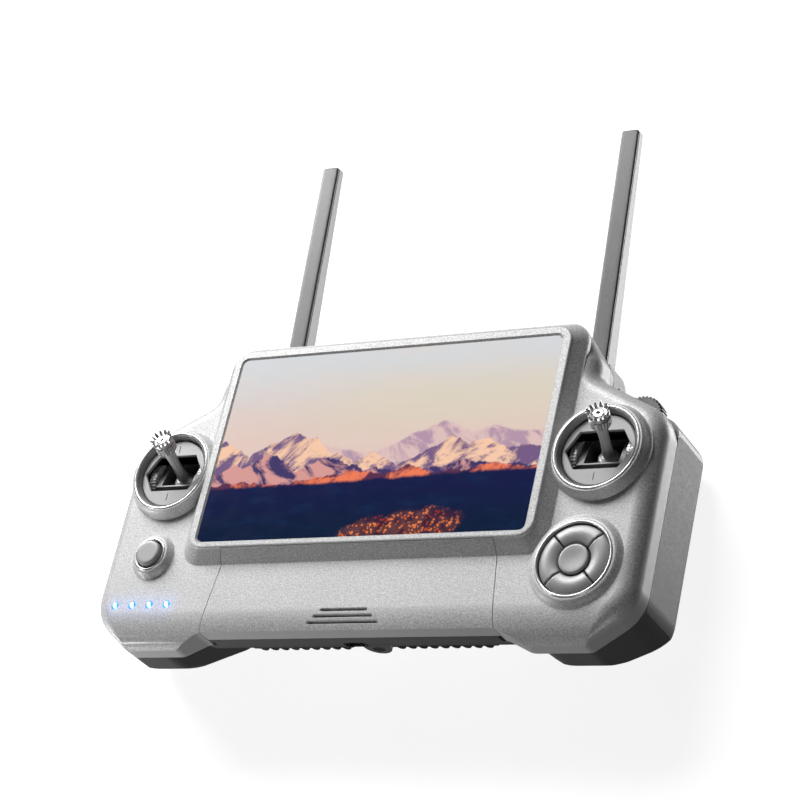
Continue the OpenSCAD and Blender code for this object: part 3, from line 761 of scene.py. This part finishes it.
carve(
    shell,
    loft("display_seat", [
        at_height(display_outline(0), -1.6), at_height(display_outline(0), -0.75),
        at_height(display_outline(0.75), 0.0), at_height(display_outline(0.75), 3),
    ]),
    prism("display_well", rounded_rectangle(-76.3, -42.4, 76.3, 42.4, 1, 3), -12, 0),
)
for side in (-1, 1):
    spot = (side * STICK_X, STICK_Y)
    carve(
        shell, prism("seat", circle(18.75, 96, spot), -5, 3),
        prism("bore", circle(16.6, 96, spot), -12, 0),
    )
carve(
    shell, prism("seat", circle(16.55, 96, PAD), -6.2, 3), prism("bore", circle(15.3, 96, PAD), -12, 0),
    prism("seat", circle(7.7, 64, POWER), -6.2, 3), prism("bore", circle(6.3, 64, POWER), -12, 0),
)
LED_AT = [(LED_FIRST[0] + LED_PITCH * i, LED_FIRST[1]) for i in range(4)]
for spot in LED_AT:
    carve(shell, flared_prism("hole", lambda g, c=spot: circle(1.75 + g, 32, c), -12, WING_Z, 0.12))
for i in range(3):
    half, at = 10.9 + 2.8 * i, (0, -74 - 2.6 * i)
    top = (-5.62, -5.95, -6.4)[i]
    carve(panel, flared_prism("slot", lambda g, h=half, c=at: stadium(h, 0.45, c, g), -12, top, 0.35))
carve(panel, block("strip", (-80, -90, -30), (80, -70, STRIP_SEAM_Z + 0.14)))
show(shell, "housing", "front_plastic", ["front_shell"])
show(panel, "housing", "front_plastic", ["lower_panel"])

# ---------------------------------------------------------------- rear shell and grips

def port_prism(name, half, radius, y0, y1):
    return along_y(stadium(half, radius, PORT), y0, y1, name)


def rounded_below(name, points, z0, z1, span, rise, inset):
    """Body whose lower edge is rounded, span wide and rise tall."""
    rings = []
    for i in range(13):
        a = math.radians(90 - 7.5 * i)
        step_in = inset + span * (1 - math.cos(a))
        rings.append(at_height(outline(points, step_in), z0 + rise - rise * math.sin(a)))
    rings.append(at_height(outline(points, inset), z1))
    return loft(name, rings)


def grip_solid(name, inset, top, side):
    """A deep grip. Its lower end is cut off by a slanted face with the same rounded rim."""
    span, rise = GRIP_ACROSS - inset, GRIP_RISE - inset
    grip = rounded_below(name, GRIP_OUTLINE, GRIP_BACK + inset, top, span, rise, inset)
    for slant, lift in ((GRIP_SLANT, 0), (GRIP_SLANT * 0.5, 3.6)):
        end = rounded_below("end", GRIP_OUTLINE, GRIP_BACK + inset, top + 150, span, rise, inset - 0.6)
        for v in end.data.vertices:
            v.co.z += GRIP_END_Z - GRIP_BACK + 0.6 * inset - lift - slant * (v.co.y - GRIP_BOTTOM_Y)
        keep_common(grip, end)
    if side == -1:
        grip.data.transform(Matrix.Scale(-1, 4, (1, 0, 0)))
        grip.data.flip_normals()
    return grip


def panel_prism(side, gap, name):
    low, high = sorted((side * (PANEL_X + gap), side * 145))
    low_y, high_y = PANEL_Y
    profile = rounded_rectangle(low_y + gap, GRIP_BACK + 3, high_y - gap, PARTING_Z - gap, PANEL_R, 8)
    return along_x(profile, low, high, name)


slab = mirrored(SLAB_HALF)
rear_top = PARTING_Z - 0.1
rear = rounded_below("rear_shell_skin", slab, SLAB_BACK, rear_top, SLAB_ACROSS, SLAB_RISE, 0)
strip_ends = [(-67.2, SLAB_BOTTOM_Y), (67.2, SLAB_BOTTOM_Y)]
strip_ends += [(x, y + WALL) for x, y in reversed(strip_ends)]
strip = prism("strip", strip_ends, PARTING_Z - 1, STRIP_SEAM_Z - 0.14)
unite(rear, grip_solid("grip", 0, rear_top, 1), grip_solid("grip", 0, rear_top, -1))
EAR_R = 6.5
PIN_BORE_R = 1.55
for side in (-1, 1):
    for s in (-1, 1):
        x = side * ANTENNA_X + s * 7.9
        ear = arc(EAR_R, 180, 360, 24, (HINGE_Y, HINGE_Z))
        ear += [(HINGE_Y + EAR_R, -28), (HINGE_Y - EAR_R, -28)]
        unite(rear, along_x(ear, x - 1.5, x + 1.5, "ear"))
hollow = rounded_below("hollow", slab, SLAB_BACK + WALL, -10, SLAB_ACROSS - 2, SLAB_RISE - 2, WALL)
carve(rear, hollow, grip_solid("hollow", WALL, -10, 1), grip_solid("hollow", WALL, -10, -1))
unite(rear, strip)
for side in (-1, 1):
    skin = grip_solid(f"{SIDE_NAME[side]}_grip_panel_skin", 0, rear_top, side)
    carve(skin, grip_solid("hollow", WALL, -10, side))
    keep_common(skin, panel_prism(side, 0.22, "window"))
    carve(rear, panel_prism(side, 0, "window"))
    show(skin, "housing", "grip_rubber", [f"{SIDE_NAME[side]}_grip_panel"])
for side in (-1, 1):
    pin = circle(PIN_BORE_R, 32, (HINGE_Y, HINGE_Z))
    dial_hole = circle(DIAL_R + 0.6, 96, (side * DIAL[0], DIAL[1]))
    carve(rear, along_x(pin, side * ANTENNA_X - 12, side * ANTENNA_X + 12, "bore"),
          prism("dial_window", dial_hole, DIAL[2] - 3.7, DIAL[2] + 3.7))
    for x, y in ((62.3, -55), (62.3, -5), (45, 40)):
        spot = (side * x, y)
        carve(rear, prism("screw", circle(1.4, 24, spot), -34, -28),
              prism("head", circle(2.7, 32, spot), -34, -30.4))
window = carve(
    block("sink_window", (-58.5, SINK_Y[0], -38), (58.5, SINK_Y[1], -20)),
    block("tongue", (-TONGUE_HALF_W, SINK_Y[0] - 2, -40), (TONGUE_HALF_W, TONGUE_Y, -10)),
)
carve(rear, window,
      port_prism("port_window", 5.6, 1.9, SLAB_BOTTOM_Y - 6, SLAB_BOTTOM_Y + 6),
      block("lug_pocket", (-8, LUG_Y - 0.2, -34), (8, LUG_Y + 5.6, -30.8)))
show(rear, "housing", "rear_plastic", ["rear_shell"])

# ribbed plate
profile = [(-58.3, -30.0), (-58.3, -32.6)]
for side in (-1, 1):
    ribs = range(8, -1, -1) if side == -1 else range(9)
    for i in ribs:
        x = side * (RIB_FIRST_X + RIB_R + RIB_PITCH * i)
        profile += arc(RIB_R, 180, 360, 12, (x, RIB_Z))
profile += [(58.3, -32.6), (58.3, -30.0)]
sink = along_y(profile, SINK_Y[0] + 0.2, SINK_Y[1] - 0.2, "heat_sink_skin")
bevel(sink, 0.4, 3, 50)
notch_half_w = TONGUE_HALF_W + 0.2
carve(sink, block("notch", (-notch_half_w, SINK_Y[0] - 1, -36), (notch_half_w, TONGUE_Y + 0.2, -20)))
show(sink, "housing", "bare_aluminium", ["heat_sink"])

# strap lug
half_round = arc(LUG_R, 180, 360, 32, (0, -35)) + [(LUG_R, -31), (-LUG_R, -31)]
lug = along_y(half_round, LUG_Y, LUG_Y + 3.2, "strap_lug_skin")
unite(lug, block("base", (-7.8, LUG_Y, -32), (7.8, LUG_Y + 5.4, -30.9)))
eye_outline = [(3.0 * x, EYE_Z + 2.2 * z) for x, z in circle(1, 40)]
eye = along_y(eye_outline, LUG_Y - 2, LUG_Y + 6, "eye")
show(bevel(carve(lug, eye), 0.5, 3, 40), "housing", "rear_plastic", ["strap_lug"])

# ---------------------------------------------------------------- display, lights, power key

glass = loft("display_glass_skin", [
    at_height(rounded_rectangle(-77.4, -43.5, 77.4, 43.5, 2.5, 8), -1.5),
    at_height(rounded_rectangle(-77.4, -43.5, 77.4, 43.5, 2.5, 8), -0.45),
    at_height(rounded_rectangle(-77.25, -43.35, 77.25, 43.35, 2.35, 8), -0.3),
])
show(glass, "housing", "screen_glass", ["display_glass"])

lens_profile = [
    (0, -8.4), (1.65, -8.4), (1.65, WING_Z - 0.05), (1.5, WING_Z + 0.1), (1.1, WING_Z + 0.28),
    (0.6, WING_Z + 0.38), (0, WING_Z + 0.42),
]
lenses = [lathe("lens", lens_profile, 32, spot) for spot in LED_AT]
lights = lenses[0]
for lens in lenses[1:]:
    unite(lights, lens)
lights.name = "status_lights"
show(lights, "housing", "led_blue", ["led_lenses"], 60)


def ring_profile(inner, outer, bottom, top, lip):
    middle, half = (inner + outer) / 2, (outer - inner) / 2
    crest = [(middle + half * x, top - lip + lip * z) for x, z in arc(1, 0, 180, 12)]
    return [(inner, bottom), (outer, bottom)] + crest


def trim(name, centre, inner, outer, bottom, top, node):
    ring = lathe(name, ring_profile(inner, outer, bottom, top, 0.55), 128, centre)
    show(ring, "housing", "bright_trim", [node], 50)


trim("power_trim", POWER, 6.45, 7.62, -6.1, -2.2, "power_ring")
trim("pad_trim", PAD, 15.35, 16.5, -6.1, -2.75, "pad_ring")
cap = lathe("power_cap", [
    (0, -8.2), (5.7, -8.2), (5.7, -1.35), (5.62, -1.0), (5.35, -0.72), (4.95, -0.56), (4.4, -0.5),
    (3, -0.52), (0, -0.55),
], 96, POWER)
show(cap, "power_key", "key_plastic", ["power_button"], 40)

# ---------------------------------------------------------------- direction pad


def direction_key(name, angle, node, body):
    """One quarter of the crowned ring, with rounded edges and a straight gap to its neighbours."""
    inner, outer, gap, soft = 6.95, 15.0, 0.28, 0.28
    radial, angular = 18, 30

    def crown(t):
        return -4.0 + 1.15 * math.sin(math.pi * t) ** 0.85

    points = []
    radii = [inner] + [inner + (outer - inner) * i / radial for i in range(radial + 1)] + [outer]
    for i, r in enumerate(radii):
        margin = math.asin(gap / r)
        low, high = -math.pi / 4 + margin, math.pi / 4 - margin
        for j in range(angular + 3):
            inside = min(max(j - 1, 0), angular) / angular
            edge = soft / r if 0 < j < angular + 2 else 0
            a = angle + low + edge + (high - low - 2 * edge) * inside
            t = (r - inner) / (outer - inner)
            z = crown(t)
            rim = i in (0, len(radii) - 1) or j in (0, angular + 2)
            radius = r
            if i == 1:
                radius = inner + soft * 0.7
            elif i == len(radii) - 2:
                radius = outer - soft * 0.7
            x, y = PAD[0] + radius * math.cos(a), PAD[1] + radius * math.sin(a)
            points.append((x, y, z - (soft if rim else 0)))
    row = angular + 3
    count = len(points)
    points += [(x, y, -7.6) for x, y, _ in points]
    faces = []
    for i in range(len(radii) - 1):
        for j in range(row - 1):
            a, b, c, d = i * row + j, (i + 1) * row + j, (i + 1) * row + j + 1, i * row + j + 1
            faces.append([a, b, c, d])
    border = list(range(row)) + [i * row + row - 1 for i in range(1, len(radii))]
    border += [(len(radii) - 1) * row + j for j in range(row - 2, -1, -1)]
    border += [i * row for i in range(len(radii) - 2, 0, -1)]
    for a, b in zip(border, border[1:] + border[:1]):
        faces.append([a, b, b + count, a + count])
    faces.append([v + count for v in border])
    used = sorted({v for f in faces for v in f})
    number = {v: k for k, v in enumerate(used)}
    key = make(name, [points[v] for v in used], [[number[v] for v in f] for f in faces])
    show(key, body, "key_plastic", [node], 45)


for name, turn in (("right", 0), ("up", 90), ("left", 180), ("down", 270)):
    direction_key(f"pad_{name}_cap", math.radians(turn), f"key_{name}", f"pad_key_{name}")
middle = lathe("pad_center_cap", [
    (0, -7.6), (6.4, -7.6), (6.4, -3.6), (6.32, -3.3), (6.1, -3.08), (5.8, -2.98), (5.3, -2.95),
    (4, -3.03), (2.5, -3.13), (1, -3.2), (0, -3.21),
], 96, PAD)
show(middle, "pad_key_center", "key_plastic", ["key_center"], 40)

# ---------------------------------------------------------------- stick gimbals


def hex_opening(grow):
    flat, point, height, r = 9.5 + 0.5 * grow, 14.6 + 1.1 * grow, 8.2 + grow, 0.8
    return outline([(-flat, -height, r), (flat, -height, r), (point, 0, r),
                    (flat, height, r), (-flat, height, r), (-point, 0, r)], 0, 4)


# Sections of a spike: radius, height under the tip, half depth and half width.
SPIKE = [(3.75, -2.9, 0.6, 0.75), (3.95, -1.7, 0.5, 0.62), (4.35, -0.7, 0.38, 0.42), (4.72, 0.0, 0.2, 0.16)]


def cap_shape(name):
    """Knurled cap with a flared crown of spikes round a hollow top."""
    top = STICK_LEN
    segments, rows = 96, 26
    knurl_low, knurl_high = top - 7.7, top - 4.3
    points = []
    for i in range(rows + 1):
        z = knurl_low + (knurl_high - knurl_low) * i / rows
        for j in range(segments):
            a = 2 * math.pi * j / segments
            wave = math.sin(12 * a + 3.6 * (z - knurl_low)) * math.sin(12 * a - 3.6 * (z - knurl_low))
            r = 4.22 + 0.26 * wave
            if i in (0, rows):
                r = 3.95
            points.append((r * math.cos(a), r * math.sin(a), z))

    def add_ring(r, z):
        for j in range(segments):
            a = 2 * math.pi * j / segments
            points.append((r * math.cos(a), r * math.sin(a), z))

    upper = [
        (3.75, top - 4.1), (3.72, top - 3.8), (4.1, top - 3.45), (4.45, top - 2.9), (4.5, top - 2.4),
        (4.3, top - 2.1), (3.3, top - 2.0), (2.6, top - 2.2), (2.4, top - 2.6), (1.6, top - 2.7),
    ]
    for r, z in upper:
        add_ring(r, z)
    lower = [(2.6, top - 8.9), (2.9, top - 8.7), (3.5, top - 8.15), (3.9, top - 7.85)]
    base = len(points)
    for r, z in lower:
        add_ring(r, z)
    order = [base + segments * i for i in range(len(lower))]
    order += [segments * i for i in range(rows + 1 + len(upper))]
    faces = []
    for a, b in zip(order, order[1:]):
        for j in range(segments):
            k = (j + 1) % segments
            faces.append([a + j, a + k, b + k, b + j])
    faces.append([order[0] + j for j in range(segments - 1, -1, -1)])
    faces.append([order[-1] + j for j in range(segments)])
    body = make(name, points, faces)
    spikes = []
    for i in range(12):
        a = 2 * math.pi * i / 12
        out, side = Vector((math.cos(a), math.sin(a), 0)), Vector((-math.sin(a), math.cos(a), 0))
        rings = []
        for r, z, deep, half in SPIKE:
            centre = out * r + Vector((0, 0, top + z))
            rings.append([centre - out * deep - side * half, centre + out * deep - side * half * 0.75,
                          centre + out * deep + side * half * 0.75, centre - out * deep + side * half])
        spikes.append(loft("spike", rings))
    unite(body, *spikes)
    screw = lathe("screw", [
        (0, top - 3.2), (2.3, top - 3.2), (2.3, top - 2.05), (2.0, top - 1.75), (0, top - 1.7),
    ], 48)
    carve(screw, prism("socket", circle(1.05, 6), top - 2.6, top))
    return body, screw


def toothed(teeth, low, foot, high, tip):
    """Wheel outline. foot and tip are half widths, as parts of a tooth's pitch."""
    found = []
    for i in range(teeth):
        for r, off in ((low, -foot), (high, -tip), (high, tip), (low, foot)):
            a = 2 * math.pi * (i + off) / teeth
            found.append((r * math.cos(a), r * math.sin(a)))
    return found


def tilt(side, lean):
    pivot = Matrix.Translation((side * STICK_X, STICK_Y, PIVOT_Z))
    raised = Matrix.Rotation(math.radians(-LEAN_UP), 4, "X")
    return pivot @ raised @ Matrix.Rotation(math.radians(lean), 4, "Y")


def turned_x(obj, side):
    """Turns a piece made round Z so that it lies along X, pointing to side."""
    return moved(obj, Matrix.Rotation(math.radians(90 * side), 4, "Y"))


for side in (-1, 1):
    word = SIDE_NAME[side]
    spot = (side * STICK_X, STICK_Y)
    ring = lathe(f"{word}_gimbal_trim", ring_profile(17.3, 18.7, -5, -0.85, 0.6), 160, spot)
    show(ring, "housing", "bright_trim", [f"{word}_gimbal_ring"], 50)
    liner = lathe(f"{word}_gimbal_liner", [
        (16.1, -4.9), (17.28, -4.9), (17.28, -1.3), (17.1, -1.1), (16.75, -1.6), (16.2, -4.4),
    ], 128, spot)
    show(liner, "housing", "gimbal_plate_grey")
    plate = lathe(f"{word}_gimbal_face", [
        (0, -4.7), (15.9, -4.7), (15.9, -4.0), (15.35, -3.5), (0, -3.5),
    ], 128, spot)
    opening = loft("opening", [
        at_height(hex_opening(grow), z) for grow, z in ((0, -6), (0, -3.75), (0.3, -3.5), (0.3, -2))
    ])
    carve(plate, moved(opening, Matrix.Translation((spot[0], spot[1], 0))))
    for s in (-1, 1):
        x, y = spot[0], spot[1] + s * 11.6
        carve(plate, block("tick", (x - 0.17, y - 1.8, -3.8), (x + 0.17, y + 1.8, -2)))
    show(plate, "housing", "gimbal_plate_grey", [f"{word}_gimbal_plate"])

    level = tilt(side, 0)
    yoke_side = [(-7.6, -5), (-5.6, -7), (5.6, -7), (7.6, -5), (7.6, 5), (6.6, 6.5), (-6.6, 6.5), (-7.6, 5)]
    yoke = along_x(yoke_side, -10.5, 10.5, f"{word}_yoke_shell")
    carve(yoke, prism("window", rounded_rectangle(-7.6, -5.8, 7.6, 5.8, 0.6, 4), -10, 10))
    bevel(yoke, 0.35, 3, 30)
    show(moved(yoke, level), f"{word}_yoke_assembly", "yoke_black", [f"{word}_yoke"])
    wheels = None
    for s in (-1, 1):
        teeth = toothed(44, 9.0, 0.32, 9.3, 0.14)
        wheel = loft("wheel", [
            at_height([(x * k, y * k) for x, y in teeth], z)
            for k, z in ((0.96, 10.62), (1, 10.9), (1, 12.0), (0.965, 12.15), (0.965, 12.5),
                         (1, 12.65), (1, 13.6), (0.965, 13.9))
        ])
        stub = prism("stub", circle(2, 32), 13.5, 17.0)
        unite(wheel, stub)
        turned_x(wheel, s)
        if wheels is None:
            wheels = wheel
        else:
            unite(wheels, wheel)
    wheels.name = f"{word}_drum_wheels"
    show(moved(wheels, level), f"{word}_yoke_assembly", "drum_metal", [f"{word}_drums"])

    lean = tilt(side, LEAN_SIDE[side])
    stick_body = f"{word}_stick_assembly"
    dome_profile = [(0, -5.4)] + arc(5.4, -80, 40, 12) + [(4.1, 3.9), (3.2, 4.25), (2.9, 4.6), (0, 4.6)]
    dome = lathe(f"{word}_stick_dome", dome_profile, 72)
    axle = prism("axle", circle(1.2, 24), -7.5, 7.5)
    unite(dome, moved(axle, Matrix.Rotation(math.radians(90), 4, "X")))
    for i in range(6):
        flat = block("flat", (4.55, -1.1, 0.2), (6, 1.1, 3.4))
        carve(dome, moved(flat, Matrix.Rotation(math.radians(60 * i + 30), 4, "Z")))
    show(moved(dome, lean), stick_body, "drum_metal", [f"{word}_stick_ball"])
    shaft = lathe(f"{word}_stick_rod", [
        (0, 4.62), (2.5, 4.62), (2.45, 5.4), (2.2, 8), (2.08, 11), (2.05, 13.5), (2.15, 16.5), (2.4, 19),
        (2.65, STICK_LEN - 9.4), (2.65, STICK_LEN - 8.9), (0, STICK_LEN - 8.9),
    ], 64)
    show(moved(shaft, lean), stick_body, "stick_metal", [f"{word}_stick_shaft"])
    crown, screw = cap_shape(f"{word}_stick_crown")
    screw.name = f"{word}_stick_screw"
    show(moved(crown, lean), stick_body, "cap_metal", [f"{word}_stick_cap"], 40)
    show(moved(screw, lean), stick_body, "bright_trim")

# ---------------------------------------------------------------- shoulder dials

for side in (-1, 1):
    word = SIDE_NAME[side]
    rim = toothed(36, DIAL_R - 0.6, 0.34, DIAL_R - 0.05, 0.2)
    wheel = loft(f"{word}_dial_grip", [
        at_height([(x * k, y * k) for x, y in rim], z)
        for k, z in ((0.95, -3), (1, -2.6), (1, 2.6), (0.95, 3))
    ])
    carve(wheel, prism("bore", circle(1.25, 24), -5, 5))
    moved(wheel, Matrix.Translation((side * DIAL[0], DIAL[1], DIAL[2])))
    show(wheel, f"{word}_dial_wheel", "dial_black", [f"{word}_dial"])

# ---------------------------------------------------------------- antennas


def antenna_section(width, depth, y, inset=0.0):
    """Section of a blade: a flat front and two fine grooves near each front corner."""
    w, d = width / 2 - inset, depth / 2 - inset
    c = 0.45
    back = [(w - c, -d), (w, -d + c)]
    groove = [
        (w, d - 2.1), (w - 0.35, d - 2.0), (w - 0.35, d - 1.7), (w, d - 1.55), (w, d - 1.15),
        (w - 0.35, d - 1.0), (w - 0.35, d - 0.75), (w - 0.02, d - 0.6), (w - c * 0.6, d - 0.12),
        (w - 0.75, d),
    ]
    half = back + groove
    front = [(w * 0.45, d), (0, d), (-w * 0.45, d)]
    points = half + front + [(-x, z) for x, z in reversed(half)]
    return [(x, y, z) for x, z in points]


for side in (-1, 1):
    word = SIDE_NAME[side]
    stand = Matrix.Translation((side * ANTENNA_X, HINGE_Y, HINGE_Z))
    stand @= Matrix.Rotation(math.radians(ANTENNA_LEAN), 4, "X")
    blade = loft(f"{word}_antenna_blade", [
        antenna_section(ANTENNA_W, 9.8, 7.0), antenna_section(ANTENNA_W, 9.77, 7.8),
        antenna_section(ANTENNA_W, 5.62, ANTENNA_LEN - 0.6),
        antenna_section(ANTENNA_W, 5.6, ANTENNA_LEN, 0.5),
    ])
    show(moved(blade, stand), f"{word}_antenna_assembly", "antenna_plastic", [f"{word}_antenna"], 25)
    knob = prism(f"{word}_antenna_base", circle(6, 64), -6, 6)
    turned_x(knob, 1)
    unite(knob, prism("neck", rounded_rectangle(-3.8, 0, 3.8, 6.9, 0.3, 2), -4.9, 4.9))
    bore = turned_x(prism("bore", circle(1.55, 32), -9, 9), 1)
    carve(knob, bore)
    bevel(knob, 0.3, 2, 50)
    show(moved(knob, stand), f"{word}_antenna_assembly", "antenna_plastic", [f"{word}_antenna_knuckle"])

# ---------------------------------------------------------------- charging port


port = carve(port_prism("port_shell", 4.6, 1.6, -82.1, -75), port_prism("mouth", 4.3, 1.3, -84, -76))
unite(port, block("tongue", (PORT[0] - 3, -81.2, PORT[1] - 0.3), (PORT[0] + 3, -75.5, PORT[1] + 0.3)))
show(port, "housing", "shield_metal", ["usb_port"])
surround = port_prism("port_surround", 5.6, 1.9, -82.35, -80.3)
carve(surround, port_prism("mouth", 4.65, 1.65, -84, -78))
show(surround, "housing", "inner_plastic")

# ---------------------------------------------------------------- pieces kept from the frame

KEPT = {
    "mid_frame": "frame_metal", "display_panel": "display_stack", "main_board": "circuit_board",
    "radio_module": "shield_metal", "coax_leads": "cable_black", "speaker": "inner_plastic",
    "battery_cells": "cell_wrap", "battery_holders": "inner_plastic", "case_screws": "screw_steel",
    "power_board": "circuit_board", "pad_mat": "key_mat", "key_board": "circuit_board",
    "left_gimbal_frame": "inner_plastic", "right_gimbal_frame": "inner_plastic",
    "left_dial_encoder": "inner_plastic", "right_dial_encoder": "inner_plastic",
    "left_hinge_pin": "screw_steel", "right_hinge_pin": "screw_steel",
}
for node, slot in KEPT.items():
    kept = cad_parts[node]
    kept.data.materials.clear()
    kept.data.materials.append(LOOKS[slot])

# ---------------------------------------------------------------- floor, light and camera

FLOOR_SIZE = 4
bpy.ops.mesh.primitive_plane_add(size=FLOOR_SIZE, location=(0, 0, cad_box[0].z - 0.0002))
floor = bpy.context.object
floor.name = "floor"
paper = Shader("pale_floor")
drift = paper.step(paper.noise(3, 2.0), 0.3, 0.7)
tone = paper.mix(drift, linear(0.66, 0.66, 0.665), linear(0.68, 0.68, 0.68))
paper.set(Base_Color=tone, Roughness=0.8, Emission_Color=(1, 1, 1, 1), Emission_Strength=0.84)
floor.data.materials.append(paper.material)
floor.visible_diffuse = False
floor.visible_glossy = False
floor.visible_shadow = False

TARGET = ORIGIN + Vector((0, -0.01, -0.02))


def area_light(name, direction, distance, size, power):
    lamp = bpy.data.lights.new(name, "AREA")
    lamp.shape = "RECTANGLE"
    lamp.size, lamp.size_y = size
    lamp.energy = power
    obj = bpy.data.objects.new(name, lamp)
    bpy.context.scene.collection.objects.link(obj)
    away = Vector(direction).normalized()
    obj.location = TARGET + away * distance
    obj.rotation_mode = "QUATERNION"
    obj.rotation_quaternion = (-away).to_track_quat("-Z", "Y")
    return obj


area_light("key", (-0.70, 0.66, 0.52), 1.3, (0.6, 0.6), 17)
area_light("overhead", (-0.25, 0.76, 0.62), 1.6, (0.7, 0.7), 19)
area_light("rim_behind", (0.48, 0.62, -0.72), 0.9, (0.5, 0.5), 5)
area_light("low_left", (-0.85, -0.52, -0.05), 0.5, (0.2, 0.2), 1.6)
area_light("low_front", (0.25, -0.85, 0.25), 0.9, (0.5, 0.3), 1.6)

world = bpy.data.worlds.new("studio")
bpy.context.scene.world = world
world.use_nodes = True
sky = world.node_tree
way = sky.nodes.new("ShaderNodeTexCoord")
toward = sky.nodes.new("ShaderNodeVectorMath")
toward.operation = "DOT_PRODUCT"
toward.inputs[1].default_value = (-0.55, 0.35, 0.75)
fade = sky.nodes.new("ShaderNodeMapRange")
for socket, value in zip(fade.inputs[1:5], (-0.6, 1.0, 0.07, 0.42)):
    socket.default_value = value
sky.links.new(way.outputs["Generated"], toward.inputs[0])
sky.links.new(toward.outputs["Value"], fade.inputs[0])
sky.links.new(fade.outputs[0], sky.nodes["Background"].inputs[1])

LENS = 114.43
SENSOR = 36
CAMERA_AT = (543.318, -449.065, 766.488)
CAMERA_RIGHT = (0.856466, 0.206525, -0.473090)
CAMERA_UP = (0.060000, 0.870438, 0.488607)
CAMERA_BACK = (0.512705, -0.446861, 0.733109)
lens = bpy.data.cameras.new("camera")
lens.lens = LENS
lens.sensor_width = SENSOR
lens.clip_start = 0.05
lens.clip_end = 50
camera = bpy.data.objects.new("camera", lens)
bpy.context.scene.collection.objects.link(camera)
turn = Matrix((CAMERA_RIGHT, CAMERA_UP, CAMERA_BACK)).transposed()
camera.rotation_mode = "QUATERNION"
camera.rotation_quaternion = turn.to_quaternion()
camera.location = ORIGIN + Vector(CAMERA_AT) / 1000
bpy.context.scene.camera = camera
bpy.context.scene.view_settings.view_transform = "Standard"
